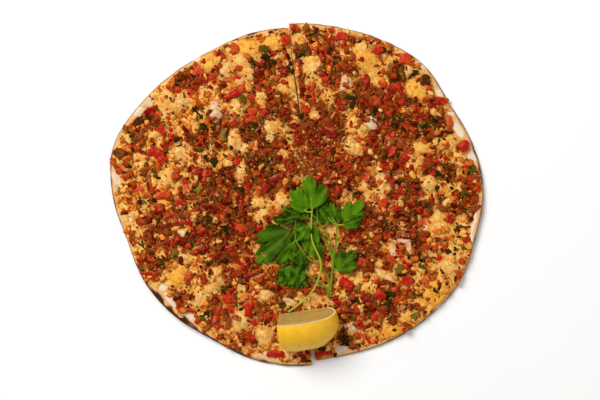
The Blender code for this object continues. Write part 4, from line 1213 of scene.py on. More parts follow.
def lump_shapes(count, divisions, unevenness, seed):
    """Uneven lumps about 1 across, as arrays of points and faces."""
    chance = np.random.default_rng(seed)
    shapes = []
    for _ in range(count):
        shape = bmesh.new()
        bmesh.ops.create_icosphere(shape, subdivisions=divisions, radius=0.5)
        away = Vector(chance.uniform(0, 90, 3))
        for point in shape.verts:
            swelling = noise.noise(point.co * 2.2 + away) + 0.4 * noise.noise(point.co * 6 + away)
            point.co *= 1 + unevenness * swelling
        shape.verts.index_update()
        points = np.array([point.co for point in shape.verts])
        faces = np.array([[corner.index for corner in face.verts] for face in shape.faces])
        shape.free()
        shapes.append((points, faces))
    return shapes


def turns_about(yaw, pitch, roll):
    """One turning matrix for each set of three angles."""
    sines, cosines = np.sin((yaw, pitch, roll)), np.cos((yaw, pitch, roll))
    about_z, about_y, about_x = (np.zeros((len(yaw), 3, 3)) for _ in range(3))
    for turn, first, second, k in ((about_z, 0, 1, 0), (about_y, 2, 0, 1), (about_x, 1, 2, 2)):
        turn[:, first, first] = turn[:, second, second] = cosines[k]
        turn[:, first, second], turn[:, second, first] = -sines[k], sines[k]
        turn[:, 3 - first - second, 3 - first - second] = 1
    return about_z @ about_y @ about_x


def strew(name, shapes, centres, sizes, turns, tones, beds, material, slot):
    """Copies of the shapes joined into one piece: each at its centre, with its three sizes, turn and tone.

    Beds are how much mince each lies in. Its lower part takes on the colour of what it lies in, partly as
    paste on it and partly as painted shade where it meets the topping.
    """
    points, faces, values = [], [], []
    first = 0
    for number in range(len(shapes)):
        base, corners = shapes[number]
        mine = np.arange(number, len(centres), len(shapes))
        placed = np.einsum("nij,nkj->nki", turns[mine], base[None] * sizes[mine][:, None])
        placed += centres[mine][:, None]
        placed[:, :, 2] = np.maximum(placed[:, :, 2], LOWEST)
        points.append(placed.reshape(-1, 3))
        starts = first + len(base) * np.arange(len(mine))
        faces.append((corners[None] + starts[:, None, None]).reshape(-1, 3))
        rise = (base[:, 2] - base[:, 2].min()) / np.ptp(base[:, 2])
        kept = (np.repeat(tones[mine], len(base)), np.repeat(beds[mine], len(base)), np.tile(rise, len(mine)))
        values.append(np.array(kept))
        first += len(base) * len(mine)
    mesh = bpy.data.meshes.new(name)
    mesh.from_pydata(np.concatenate(points).tolist(), [], np.concatenate(faces).tolist())
    for attribute, value in zip(("tone", "bed", "rise"), np.concatenate(values, axis=1)):
        set_values(mesh, attribute, value)
    mesh.shade_smooth()
    return finish_piece(link(name, mesh), slot, material)


def over_shut_cut(served):
    """1 along the part of the cut that the topping hides, and 0 elsewhere."""
    return between(served.imag, *STREWN_OVER_CUT)


def served_side(served):
    """1 for places on the right half, -1 on the left and 0 in or near the cut."""
    sides = np.zeros(np.shape(served), dtype=int)
    for side in (-1, 1):
        sides[from_cut(to_local(served, side), side) > 0.25 * MM] = side
    return sides


def nearest_side(served):
    """The same, where the cut itself counts as the right half."""
    sides = served_side(served)
    return np.where(sides == 0, 1, sides)


def surface(served):
    """Height of the upper side, how far inside the topping's edge each place is, and what shows there."""
    sides = nearest_side(served)
    height = np.zeros(np.shape(served))
    inside = np.zeros(np.shape(served))
    shown = marks(served)
    for side in (-1, 1):
        mine = sides == side
        local = to_local(served[mine], side)
        here = {name: value[mine] for name, value in shown.items()}
        inside[mine] = topping_edge(local)
        covered = topping_top(local, served[mine], here)
        height[mine] = np.where(inside[mine] > 0, covered, dough_top(local, served[mine]))
    return height, inside, shown


def away_from(served, shapes, grow):
    """False for places inside one of these ellipses, grown by this much."""
    free = np.ones(np.shape(served), dtype=bool)
    for x, y, size_x, size_y, turn in shapes:
        free &= from_middle(served, x, y, size_x * grow, size_y * grow, turn) > 1
    return free


def diced_shapes():
    """Where the diced pieces lie, as x, y, size along, size across and turn."""
    shapes = []
    for kind in DICE_KINDS:
        for name in nodes_of(kind):
            points = np.array([point.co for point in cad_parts[name].data.vertices])
            places = (in_plan(points) - SHIFT) / MM
            middle = places.mean()
            turn = np.angle(np.sum((places - middle) ** 2)) / 2
            spread = (places - middle) * np.exp(-1j * turn)
            size = (np.ptp(spread.real), np.ptp(spread.imag))
            shapes.append((middle.real, middle.imag, *size, math.degrees(turn)))
    return shapes


def nodes_of(kind):
    return sorted(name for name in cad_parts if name.startswith(kind + "_"))


def pick_places(count, density, chance):
    """Places in plan where a random number is under the density, in the order they are drawn."""
    found = []
    while sum(len(batch) for batch in found) < count:
        tries = chance.uniform(-TRIED_REACH, TRIED_REACH, TRIES)
        tries = tries + 1j * chance.uniform(-TRIED_REACH, TRIED_REACH, TRIES)
        tries = tries[np.abs(tries) < WIDEST_RADIUS]
        height, inside, shown = surface(tries)
        wanted = density(tries, shown) * ease(inside, -0.2 * MM, 2.5 * MM)
        wanted *= np.where(served_side(tries) == 0, over_shut_cut(tries), 1)
        kept = chance.uniform(0, 1, len(tries)) < wanted
        found.append(np.column_stack((tries.real, tries.imag, height, shown["mince"]))[kept])
    return np.concatenate(found)[:count]


def likely(shown, least, off_pale, off_bare):
    """How likely a piece is to lie at each place: at least this likely where there is no mince.

    It is less likely by the other two on pale places and on bare dough.
    """
    meaty = least + (1 - least) * shown["mince"]
    return meaty * (1 - off_pale * shown["pale"]) * (1 - off_bare * shown["bare"])


def scattered(
    name, slot, material, shapes, seed, count, size, density, tone, sink, flat=0.6, tilt=0.5, long=1.0
):
    """Strews count lumps from the least to the most size across, as density and tone say.

    Density gives how likely each place is, and tone gives the lumps' tones. Sink is the share of its
    height that a lump is pressed in.
    """
    chance = np.random.default_rng(seed)
    picked = pick_places(count, density, chance)
    served = in_plan(picked)
    clear = away_from(served, diced_shapes(), 0.72) & away_from(served, LEMON_FOOTPRINT, 0.95)
    picked, served = picked[clear], served[clear]
    number = len(picked)
    across = size[0] + (size[1] - size[0]) * chance.uniform(0, 1, number) ** 1.4
    sizes = across[:, None] * np.column_stack(
        (
            long * chance.uniform(0.9, 1.5, number),
            chance.uniform(0.65, 1.0, number) / long,
            flat * chance.uniform(0.8, 1.2, number),
        )
    )
    sizes *= np.clip(room_round(served) / (0.5 * sizes.max(axis=1)), 0.3, 1.0)[:, None]
    yaw = chance.uniform(0, math.tau, number)
    pitch = chance.normal(0, tilt, number)
    turns = turns_about(yaw, pitch, chance.normal(0, tilt, number))
    centres = in_frame(served, picked[:, 2] + sizes[:, 2] * (0.5 - sink))
    tones = tone(chance, served, picked[:, 3])
    return strew(name, shapes, centres, sizes, turns, tones, picked[:, 3], material, slot)


def room_round(served):
    """How far places are from the rim, and from the cut where it gapes."""
    shut = 20 * MM * over_shut_cut(served)
    room = shut.copy()
    for side in (-1, 1):
        local = to_local(served, side)
        to_cut = from_cut(local, side)
        mine = to_cut > 0
        room[mine] = np.minimum(from_rim(local) + 0.3 * MM, to_cut + shut)[mine]
    return room


def keep_on_bread(served, reach):
    """Moves places whose pieces, which reach this far, would hang over the rim or in the cut."""
    sides = nearest_side(served)
    aside = np.where(served.imag > OFF_CUT_Y, *OFF_CUT)
    served = served + np.where(served_side(served) == 0, aside, 0)
    for side in (-1, 1):
        over = np.maximum(0, reach + ROOM_AT_RIM - from_rim(to_local(served, side)))
        served = np.where(sides == side, served - served / np.abs(served) * over, served)
    return served


def laid(name, rows, height_mm, turn_spread, shapes, material, slot, seed):
    """Pieces laid one by one, from rows of x, y, size along x, size along y and tone."""
    chance = np.random.default_rng(seed)
    table = np.array(rows, dtype=float)
    served = keep_on_bread(in_plan(table) * MM, 0.45 * table[:, 2:4].max(axis=1) * MM)
    number = len(table)
    height, _, shown = surface(served)
    heights = height_mm * MM * chance.uniform(0.7, 1.1, number)
    sizes = np.column_stack((table[:, 2:4] * MM * LAID_GROWTH, heights))
    sizes[:, 2] = np.minimum(sizes[:, 2], 0.55 * np.maximum(sizes[:, 0], sizes[:, 1]))
    yaw = np.radians(chance.uniform(-turn_spread, turn_spread, number))
    pitch = chance.normal(0, LAID_TILT, number)
    turns = turns_about(yaw, pitch, chance.normal(0, LAID_TILT, number))
    centres = in_frame(served, height + 0.12 * sizes[:, 2])
    return strew(name, shapes, centres, sizes, turns, table[:, 4], shown["mince"], material, slot)


# --- The lemon wedge ------------------------------------------------------------------------------


class Bed:
    """The upper side of the solid pieces, to lay the garnish on as the solid garnish lies."""

    def __init__(self, names):
        self.trees = []
        for name in names:
            shape = bmesh.new()
            shape.from_mesh(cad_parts[name].data)
            self.trees.append(BVHTree.FromBMesh(shape))
            shape.free()

    def height(self, served):
        place = served + SHIFT
        above = Vector((place.real, place.imag, 0.1))
        hits = [tree.ray_cast(above, Vector((0, 0, -1)))[0] for tree in self.trees]
        return max((hit.z for hit in hits if hit), default=0.0)

    def around(self, served, reach):
        """The highest that the bed is within reach of a place."""
        ring = served + reach * np.exp(1j * np.radians(np.arange(0, 360, 45)))
        return max(self.height(place) for place in (served, *ring))


def add_lemon(material):
    """The solid's own cuts through a rounder lemon."""
    bpy.ops.object.select_all(action="DESELECT")
    bpy.ops.mesh.primitive_uv_sphere_add(segments=112, ring_count=64, radius=1)
    thing = bpy.context.object
    thing.name = thing.data.name = "lemon_quarter"
    points = get_points(thing.data)
    around = np.arctan2(points[:, 1], points[:, 0])
    along = np.clip(points[:, 2], -1, 1)
    first, second = LEMON_BLUNTNESS
    width = LEMON_RADIUS * np.maximum(0.0, 1 - np.abs(along) ** first) ** (1 / second)
    places = np.column_stack((LEMON_HALF_LENGTH * along, width * np.cos(around), width * np.sin(around)))
    uneven = [1 + 0.02 * noise.noise(Vector(place) / 0.012) for place in places.tolist()]
    set_points(thing.data, places * np.array(uneven)[:, None])
    wedge, lean = math.radians(LEMON_WEDGE), math.radians(LEMON_END_LEAN)
    end = (-LEMON_END, LEMON_EDGE_BACK, -LEMON_EDGE_BELOW)
    flesh_normal = Vector((0, math.sin(wedge), math.cos(wedge)))
    cuts = (
        Vector((0, 0, -1)),
        flesh_normal,
        Vector((-math.cos(lean), 0, -math.sin(lean))),
    )
    select_only(thing)
    bpy.ops.object.mode_set(mode="EDIT")
    for normal in cuts:
        bpy.ops.mesh.select_all(action="SELECT")
        bpy.ops.mesh.bisect(plane_co=end, plane_no=normal, use_fill=True, clear_outer=True)
    bpy.ops.mesh.select_all(action="SELECT")
    bpy.ops.mesh.remove_doubles(threshold=2e-5)
    bpy.ops.mesh.quads_convert_to_tris()
    bpy.ops.mesh.normals_make_consistent(inside=False)
    bpy.ops.object.mode_set(mode="OBJECT")
    # Where each point is in the whole lemon, for the peel, the pith and the segments.
    inside = thing.data.attributes.new("in_lemon", "FLOAT_VECTOR", "POINT")
    inside.data.foreach_set("vector", np.ravel(get_points(thing.data)).astype(np.float32))
    low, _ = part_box("lemon_wedge")
    place = LEMON_PLACE * MM + SHIFT
    turn = Matrix.Rotation(math.radians(LEMON_BEARING), 4, "Z")
    to_place = Matrix.Translation(Vector((place.real, place.imag, low.z)))
    thing.data.transform(to_place @ turn @ Matrix.Translation(-Vector(end)))
    bpy.ops.object.shade_smooth_by_angle(angle=math.radians(30))
    return finish_piece(thing, "lemon", material, "lemon_wedge")


# --- The parsley ----------------------------------------------------------------------------------


def smooth_route(knots, per_span):
    """A line through the knots, so that a stem has no kinks."""
    knots = [2 * knots[0] - knots[1], *knots, 2 * knots[-1] - knots[-2]]
    route = []
    for a, b, c, d in zip(knots, knots[1:], knots[2:], knots[3:]):
        route += [smooth_step(a, b, c, d, k / per_span) for k in range(per_span)]
    return [*route, knots[-2]]


def add_stem(route, thickness, taper, pale):
    """A round stem that thins towards its end."""
    curve = bpy.data.curves.new("stem", "CURVE")
    curve.dimensions = "3D"
    curve.bevel_depth = thickness / 2
    curve.bevel_resolution = 3
    curve.use_fill_caps = True
    spline = curve.splines.new("POLY")
    spline.points.add(len(route) - 1)
    for k, (point, place) in enumerate(zip(spline.points, route)):
        point.co = (*place, 1)
        point.radius = 1 - taper * k / (len(route) - 1)
    thing = link("stem", curve)
    select_only(thing)
    bpy.ops.object.convert(target="MESH")
    thing = bpy.context.object
    with editing(thing, weld=1e-5):
        pass
    number = len(thing.data.vertices)
    for name, value in (("stem", 1.0), ("pale", pale), ("vein", 0.0)):
        set_values(thing.data, name, np.full(number, value))
    return thing


def leaf_reach(share):
    """How far the lobed, toothed edge is, as a share of the leaf, at a share of the spread to either side."""
    lobe = np.abs(np.cos(0.5 * math.pi * LEAF_LOBES * share)) ** 0.4
    tooth = 1 - LEAF_TOOTH_DEPTH * (1 - np.abs(np.cos(0.5 * math.pi * LEAF_TEETH * share)) ** 0.6)
    return (1 - LEAF_LOBE_DEPTH * (1 - lobe)) * tooth * (1.06 - 0.28 * share**2)


def add_blade(placing, length, width, pale, crumple):
    """A leaf's blade: a grid laid over its outline, folded along its veins, curled and given thickness."""
    bpy.ops.object.select_all(action="DESELECT")
    bpy.ops.mesh.primitive_grid_add(x_subdivisions=54, y_subdivisions=10, size=2)
    thing = bpy.context.object
    flat = get_points(thing.data)
    share = flat[:, 0]
    out = 0.03 + 0.97 * (flat[:, 1] + 1) / 2
    reach = out * (1 - (1 - leaf_reach(share)) * out**1.5)
    angle = math.radians(LEAF_SPREAD) * share
    x = length * reach * np.cos(angle)
    y = LEAF_BREADTH * width * reach * np.sin(angle)
    lobe = (share * LEAF_LOBES / 2 + 0.5) % 1 - 0.5
    rib = np.exp(-((np.abs(lobe) * out * 9) ** 2))
    side_rib = (np.abs(lobe) * 3.2 - out * 4.6 + crumple) % 1 - 0.5
    side_rib = 0.55 * np.exp(-((side_rib * 7) ** 2)) * ease(out, 0.15, 0.4)
    height = 0.035 * length * (np.cos(math.tau * lobe) - 1) * -0.5 * ease(out, 0.05, 0.7)
    height += 0.12 * length * cloud(x + 1j * y, 0.3 * length, crumple) * ease(out, 0.1, 0.9)
    height -= 0.05 * length * out**3 * (1 + np.sin(5 * share + crumple))
    set_points(thing.data, np.column_stack((x, y, height)))
    set_values(thing.data, "vein", np.maximum(rib, side_rib))
    set_values(thing.data, "pale", pale + 0.6 * cloud(x + 1j * y, 0.35 * length, crumple + 5))
    set_values(thing.data, "stem", np.zeros(len(x)))
    thing.data.transform(placing)
    shell = thing.modifiers.new("blade", "SOLIDIFY")
    shell.thickness = 0.5 * LEAF_THICKNESS
    shell.offset = 0
    bpy.ops.object.modifier_apply(modifier=shell.name)
    return thing


def lay_leaf(place, bearing, rise, roll, length, width, knots, bed, lift):
    """How a leaf is placed so that its edge clears what it lies on, and the nearest knot of the stems."""
    turn = Matrix.Rotation(math.radians(bearing), 4, "Z") @ Matrix.Rotation(math.radians(-rise), 4, "Y")
    turn @= Matrix.Rotation(math.radians(roll), 4, "X")
    knot = min(knots, key=lambda knot: (knot.xy - place.xy).length)
    turned = Matrix.Translation(place) @ turn
    shares = np.linspace(-1, 1, 19)
    reach = leaf_reach(shares) * length * MM
    angles = np.radians(LEAF_SPREAD) * shares
    across = LEAF_BREADTH * width / length * reach * np.sin(angles)
    edge = [turned @ Vector((a, b, 0)) for a, b in zip(reach * np.cos(angles), across)]
    sunk = max(bed.height(complex(point.x, point.y)) - point.z for point in edge)
    base = Vector((place.x, place.y, max(sunk + LEAF_THICKNESS + GAP + lift, knot.z)))
    return base, Matrix.Translation(base) @ turn, knot


def add_sprig(name, node_name, stems, leaves, stem_pale, bed, lift, material):
    """A sprig of stems, stalks and leaves, in the places of the solid sprig's."""
    members, knots = [], []
    for points in stems:
        places = [Vector(point) * MM for point in points]
        for place in places:
            place.z += bed.around(complex(place.x, place.y), STEM_BED) + lift
        knots += places
        members.append(add_stem(smooth_route(places, 6), STEM_DIAMETER, 0.3, stem_pale))
    for number, (x, y, bearing, rise, roll, length, width, pale) in enumerate(leaves):
        place = Vector((x, y, 0)) * MM
        base, placing, knot = lay_leaf(place, bearing, rise, roll, length, width, knots, bed, lift)
        members.append(add_blade(placing, 1.08 * length * MM, 1.12 * width * MM, pale, 1.7 * number + 0.3))
        stalk = [knot, base, placing @ Vector((STALK_REACH * length * MM, 0, -0.3 * MM))]
        members.append(add_stem(smooth_route(stalk, 5), STALK_DIAMETER, 0.5, pale))
    bpy.ops.object.select_all(action="DESELECT")
    for member in members:
        member.select_set(True)
    bpy.context.view_layer.objects.active = members[0]
    bpy.ops.object.join()
    thing = bpy.context.object
    thing.name = thing.data.name = name
    thing.data.transform(Matrix.Translation((SHIFT.real, SHIFT.imag, 0)))
    bpy.ops.object.shade_smooth_by_angle(angle=math.radians(60))
    return finish_piece(thing, "parsley", material, node_name)


# --- Settings -------------------------------------------------------------------------------------


def colour_setting(name, description, *value):
    settings = {"subtype": "COLOR", "size": 3, "min": 0.0, "max": 1.0, "default": srgb(*value)}
    return FloatVectorProperty(name=name, description=description, **settings)


class LahmacunLooks(PropertyGroup):
    """The colours of the bread, the topping and the garnish."""

    dough: colour_setting("Dough", "Baked dough at the rim and the underside", 222, 172, 108)
    flour: colour_setting("Flour", "Where flour still lies on the dough", 230, 212, 184)
    crust: colour_setting("Crust", "Lightly browned dough", 190, 124, 58)
    toasted: colour_setting("Toasted", "Well browned dough", 104, 50, 18)
    char: colour_setting("Char", "Dough that caught in the oven", 66, 32, 16)
    golden: colour_setting("Golden", "The topping where the mince is thin", 230, 156, 58)
    oily: colour_setting("Oily", "The same, soaked with oil", 196, 98, 24)
    stained: colour_setting("Stained", "Orange stains of pepper oil", 160, 56, 10)
    paste: colour_setting("Paste", "Between the lumps of mince", 138, 42, 2)
    # Dark paste is the colour of the thick mince paste, and also painted shade in the topping's fine dips.
    dark_paste_and_shade: colour_setting("Dark paste", "Deep between the lumps of mince", 98, 20, 0)
    whitish: colour_setting("Whitish", "The palest blisters", 226, 206, 172)
    cream: colour_setting("Cream", "Blisters in the topping", 240, 196, 114)
    yellow: colour_setting("Yellow", "Blisters that took up oil", 240, 176, 60)
    meat_dark: colour_setting("Dark meat", "The darkest mince", 78, 12, 0)
    meat: colour_setting("Meat", "Most of the mince", 112, 42, 8)
    meat_light: colour_setting("Light meat", "The lightest mince", 160, 80, 34)
    meat_olive: colour_setting("Olive meat", "Mince with herbs and pepper in it", 112, 76, 16)
    meat_pink: colour_setting("Pink meat", "Mince with tomato in it", 182, 92, 58)
    meat_tan: colour_setting("Tan meat", "Fat and onion in the mince", 218, 158, 92)
    herb_black: colour_setting("Black herb", "Herbs that dried black", 26, 22, 4)
    herb_dark: colour_setting("Dark herb", "Baked herbs", 42, 38, 6)
    herb_green: colour_setting("Green herb", "Herbs that stayed green", 72, 70, 8)
    herb_olive: colour_setting("Olive herb", "Pieces of green pepper", 134, 110, 30)
    red_dark: colour_setting("Dark red", "Red pepper", 112, 2, 0)
    red: colour_setting("Red", "Tomato", 158, 6, 4)
    red_bright: colour_setting("Bright red", "Fresh tomato", 184, 14, 10)
    red_orange: colour_setting("Orange red", "Tomato that baked dry", 192, 56, 16)
    red_pink: colour_setting("Pink", "Tomato flesh", 206, 80, 58)
    pepper_green: colour_setting("Green pepper", "Diced green pepper", 104, 98, 14)
    pepper_bright: colour_setting("Bright green pepper", "The green pepper's skin", 76, 112, 14)
    burnt: colour_setting("Burnt", "Mince that caught in the oven", 48, 24, 10)
    burnt_light: colour_setting("Burnt edge", "Its lighter places", 96, 52, 26)
    peel: colour_setting("Peel", "The lemon's skin", 238, 178, 26)
    peel_bright: colour_setting("Bright peel", "Its lighter places", 246, 198, 42)
    pith: colour_setting("Pith", "The white under the peel", 232, 212, 160)
    flesh: colour_setting("Flesh", "The lemon's flesh", 188, 152, 78)
    flesh_dark: colour_setting("Dark flesh", "Its wet streaks", 158, 118, 44)
    leaf_dark: colour_setting("Dark leaf", "Parsley leaves in their own shade", 12, 42, 0)
    # Light leaf is the colour of young leaves, and also painted light on the leaves that lie in light.
    leaf_lit_and_young: colour_setting("Light leaf", "Young parsley leaves", 78, 126, 2)
    vein: colour_setting("Vein", "The leaves' veins", 118, 146, 24)
    stem: colour_setting("Stem", "Parsley stems", 84, 116, 10)
    stem_pale: colour_setting("Pale stem", "The stem that lies on top", 176, 178, 60)
    floor: colour_setting("Floor", "The plain floor", 248, 247, 246)


class LahmacunSizes(PropertyGroup):
    """How finely the pieces are made and how much is strewn."""

    bread_spokes: IntProperty(name="Bread spokes", description="Round half of the rim", default=300, min=24)
    topping_spokes: IntProperty(
        name="Topping spokes",
        description="Round half of the topping's edge",
        default=320,
        min=24,
    )
    ring_gap: FloatProperty(
        name="Ring gap",
        description="Between the topping's rings",
        default=0.0014,
        min=0.0005,
        unit="LENGTH",
    )
    mince_count: IntProperty(name="Mince", description="Coarse lumps of mince", default=1700, min=1)
    crumb_count: IntProperty(name="Crumbs", description="Fine crumbs of mince", default=5200, min=1)
    herb_count: IntProperty(name="Herbs", description="Flakes of herbs", default=2700, min=1)
    scrap_count: IntProperty(name="Scraps", description="Scraps of tomato and pepper", default=850, min=1)
    onion_count: IntProperty(name="Onion", description="Soft oily bits", default=1300, min=1)
    garnish_lift: FloatProperty(
        name="Garnish lift",
        description="How much higher the parsley lies than its solid, clear of the mince",
        default=0.0004,
        min=0.0,
        unit="LENGTH",
    )


class LahmacunStage(PropertyGroup):
    """The floor, the lights and the camera."""

    camera_height: FloatProperty(name="Camera height", default=1.2, min=0.2, unit="LENGTH")
    view_width: FloatProperty(name="View width", default=0.48, unit="LENGTH")
    key_power: FloatProperty(
        name="Key power",
        description="The large soft light at the upper left",
        default=56.0,
        min=0.0,
        unit="POWER",
    )
    fill_power: FloatProperty(
        name="Fill power",
        description="The light opposite it",
        default=9.0,
        min=0.0,
        unit="POWER",
    )
    world_strength: FloatProperty(name="Surroundings", description="From all round", default=0.32, min=0.0)


# --- Operators ------------------------------------------------------------------------------------


class LAHMACUN_OT_bread(Operator):
    """Bake the two halves of the bread"""

    bl_idname = "lahmacun.bread"
    bl_label = "Bread"

    def execute(self, context):
        material = dough_material()
        for name, side in SIDES.items():
            thing = add_bread(name, side, context.scene.lahmacun_sizes.bread_spokes)
            finish_piece(thing, "dough", material, "dough_" + name)
        return {"FINISHED"}


class LAHMACUN_OT_topping(Operator):
    """Spread the baked topping on both halves"""

    bl_idname = "lahmacun.topping"
    bl_label = "Topping"

    def execute(self, context):
        sizes = context.scene.lahmacun_sizes
        material = topping_material()
        for name, side in SIDES.items():
            thing = add_topping(name, side, sizes.topping_spokes, sizes.ring_gap)
            finish_piece(thing, "topping", material, "topping_" + name)
        return {"FINISHED"}


class LAHMACUN_OT_diced(Operator):
    """Soften the diced tomato and pepper and the burnt lumps"""

    bl_idname = "lahmacun.diced"
    bl_label = "Diced pieces"

    def execute(self, context):
        looks = {
            "tomato": (("red_dark", "red", "red_bright", "red_orange"), 0.36, 0.14, 1.3, 0.6),
            "red_pepper": (("red_dark", "red", "red_bright"), 0.36, 0.14, 1.1, 0.6),
            "green_pepper": (("herb_green", "pepper_green", "pepper_bright"), 0.36, 0.12, 1.0, 0.6),
            "burnt_mince": (("burnt", "burnt_light", "burnt", "burnt_light"), 0.7, 0.04, 2.2, 0.3),
        }
        chance = np.random.default_rng(11)
        for kind, slot in DICE_KINDS.items():
            colours, roughness, specular, spotted, film = looks[slot]
            finish = (colours, roughness, specular, spotted, 0.0022)
            material = toned_material("diced_" + slot, *finish, film=film)
            for name in nodes_of(kind):
                add_diced(name, slot, material, chance)
        return {"FINISHED"}


class LAHMACUN_OT_mince(Operator):
    """Strew the mince, coarse and fine"""

    bl_idname = "lahmacun.mince"
    bl_label = "Mince"

    def execute(self, context):
        sizes = context.scene.lahmacun_sizes
        dark = ("meat_dark", "red_dark", "meat", "meat_olive")
        light = ("meat_light", "meat", "meat_pink", "meat_tan", "golden")
        material = toned_material("mince", dark + light, 0.5, 0.05, 0.9, 0.0018, 0.0004)

        def meaty(served, shown):
            apart = (1 - 0.55 * shown["juicy"]) * (1 - 0.6 * shown["herby"])
            return apart * likely(shown, 0.06, 0.96, 1.0)

        def loose(served, shown):
            return likely(shown, 0.13, 0.90, 0.95)

        def browned(chance, served, mince):
            mixed = 0.92 * chance.beta(1.1, 1.3, len(served)) + 0.7 * cloud(served, 6 * MM, 61.0)
            return np.clip(mixed - 0.05 * mince, 0, 1)

        scattered(
            "mince_coarse",
            "topping",
            material,
            lump_shapes(24, 2, 0.62, seed=21),
            seed=22,
            count=sizes.mince_count,
            size=(2.2 * MM, 6.2 * MM),
            density=meaty,
            tone=browned,
            sink=0.48,
            flat=0.42,
        )
        scattered(
            "mince_fine",
            "topping",
            material,
            lump_shapes(20, 1, 0.6, seed=23),
            seed=24,
            count=sizes.crumb_count,
            size=(1.0 * MM, 2.8 * MM),
            density=loose,
            tone=browned,
            sink=0.5,
        )
        return {"FINISHED"}


class LAHMACUN_OT_onion(Operator):
    """Strew the soft oily bits between the mince"""

    bl_idname = "lahmacun.onion"
    bl_label = "Onion"

    def execute(self, context):
        colours = ("paste", "stained", "oily", "golden", "cream")

        def spread(served, shown):
            return likely(shown, 1.0, 0.7, 1.0)

        def oiled(chance, served, mince):
            mixed = 0.2 + 0.75 * chance.beta(1.4, 1.5, len(served)) + 0.6 * cloud(served, 6 * MM, 62.0)
            return np.clip(mixed - 0.4 * mince, 0, 0.86)

        scattered(
            "onion_bits",
            "topping",
            toned_material("onion", colours, 0.45, 0.07, 1.2, 0.0022, 0.0004),
            lump_shapes(24, 2, 0.5, seed=51),
            seed=52,
            count=context.scene.lahmacun_sizes.onion_count,
            size=(2.4 * MM, 7.0 * MM),
            density=spread,
            tone=oiled,
            sink=0.52,
            flat=0.34,
            tilt=0.3,
        )
        return {"FINISHED"}


class LAHMACUN_OT_herbs(Operator):
    """Strew the dark herbs, and lay the larger leaves and brown lumps"""

    bl_idname = "lahmacun.herbs"
    bl_label = "Herbs"

    def execute(self, context):
        colours = ("herb_black", "herb_dark", "herb_green", "herb_olive")
        material = toned_material("herbs", colours, 0.5, 0.04, 0.35, 0.0012, 0.0003, creep_and_shade=0.2)

        def spread(served, shown):
            drifts = 0.35 * ease(cloud(served, 6.5 * MM, 63.0), 0.1, 0.4)
            close = 0.06 + 0.94 * np.maximum(shown["herby"], drifts)
            return close * likely(shown, 0.3, 0.85, 0.9)

        def green(chance, served, mince):
            mixed = 1.15 * chance.beta(1.2, 2.0, len(served)) + 0.45 * cloud(served, 7 * MM, 66.0)
            return np.clip(mixed, 0, 1)

        scattered(
            "herb_flakes",
            "topping",
            material,
            lump_shapes(16, 1, 0.35, seed=31),
            seed=32,
            count=context.scene.lahmacun_sizes.herb_count,
            size=(1.0 * MM, 3.9 * MM),
            density=spread,
            tone=green,
            sink=0.15,
            flat=0.35,
            tilt=0.35,
            long=1.35,
        )
        dark = [row for row in DARK_BITS if row[4] < BROWN_FROM]
        leaves = [(x, y, 0.95 * a, 0.95 * b, 0.05 + 1.1 * tone) for x, y, a, b, tone in dark]
        laid("herb_leaves", leaves, 1.3, 25, lump_shapes(20, 3, 0.65, seed=33), material, "topping", 34)
        brown = [(*row[:4], 0.45) for row in DARK_BITS if row[4] >= BROWN_FROM]
        colours = ("meat_dark", "meat", "meat_light", "meat_tan")
        material = toned_material("mince_lumps", colours, 0.5, 0.06, 1.2, 0.0014, 0.0004)
        laid("mince_lumps", brown, 1.8, 25, lump_shapes(12, 3, 0.35, seed=35), material, "topping", 36)
        return {"FINISHED"}


class LAHMACUN_OT_scraps(Operator):
    """Lay and strew the scraps of tomato and red pepper"""

    bl_idname = "lahmacun.scraps"
    bl_label = "Red scraps"

    def execute(self, context):
        colours = ("red_dark", "red", "red_bright", "red_orange", "red_pink")
        material = toned_material("red_scraps", colours, 0.4, 0.1, 1.2, 0.0024, 0.0004, film=0.45)

        def spread(served, shown):
            drifts = 0.5 * ease(cloud(served, 8 * MM, 64.0), 0.0, 0.4)
            close = 0.2 + 0.8 * np.maximum(shown["juicy"], drifts)
            return close * likely(shown, 0.4, 0.8, 0.95)

        def reddish(chance, served, mince):
            mixed = 0.72 * chance.beta(1.5, 1.8, len(served)) + 0.5 * cloud(served, 8 * MM, 65.0)
            return np.clip(mixed, 0, 1)

        scattered(
            "red_scraps_small",
            "tomato",
            material,
            lump_shapes(16, 2, 0.62, seed=41),
            seed=42,
            count=context.scene.lahmacun_sizes.scrap_count,
            size=(1.6 * MM, 5.2 * MM),
            density=spread,
            tone=reddish,
            sink=0.42,
            flat=0.55,
            tilt=0.3,
        )
        laid("red_scraps_large", SCRAPS, 2.0, 22, lump_shapes(24, 3, 0.5, seed=43), material, "tomato", 44)
        return {"FINISHED"}


class LAHMACUN_OT_lemon(Operator):
    """Cut the lemon wedge"""

    bl_idname = "lahmacun.lemon"
    bl_label = "Lemon"

    def execute(self, context):
        add_lemon(lemon_material())
        return {"FINISHED"}


class LAHMACUN_OT_parsley(Operator):
    """Lay the two sprigs of parsley"""

    bl_idname = "lahmacun.parsley"
    bl_label = "Parsley"

    def execute(self, context):
        lift = context.scene.lahmacun_sizes.garnish_lift
        material = parsley_material()
        diced = [name for kind in DICE_KINDS for name in nodes_of(kind)]
        bed = Bed(["topping_left", "topping_right", *diced])
        leaves = BRANCHED_LEAVES + UNDER_LEAVES
        add_sprig("parsley_spread", "parsley_branched", BRANCHED_STEMS, leaves, 0.3, bed, lift, material)
        add_sprig("parsley_tall", "parsley_long", LONG_STEMS, LONG_LEAVES, 0.75, bed, lift, material)
        return {"FINISHED"}


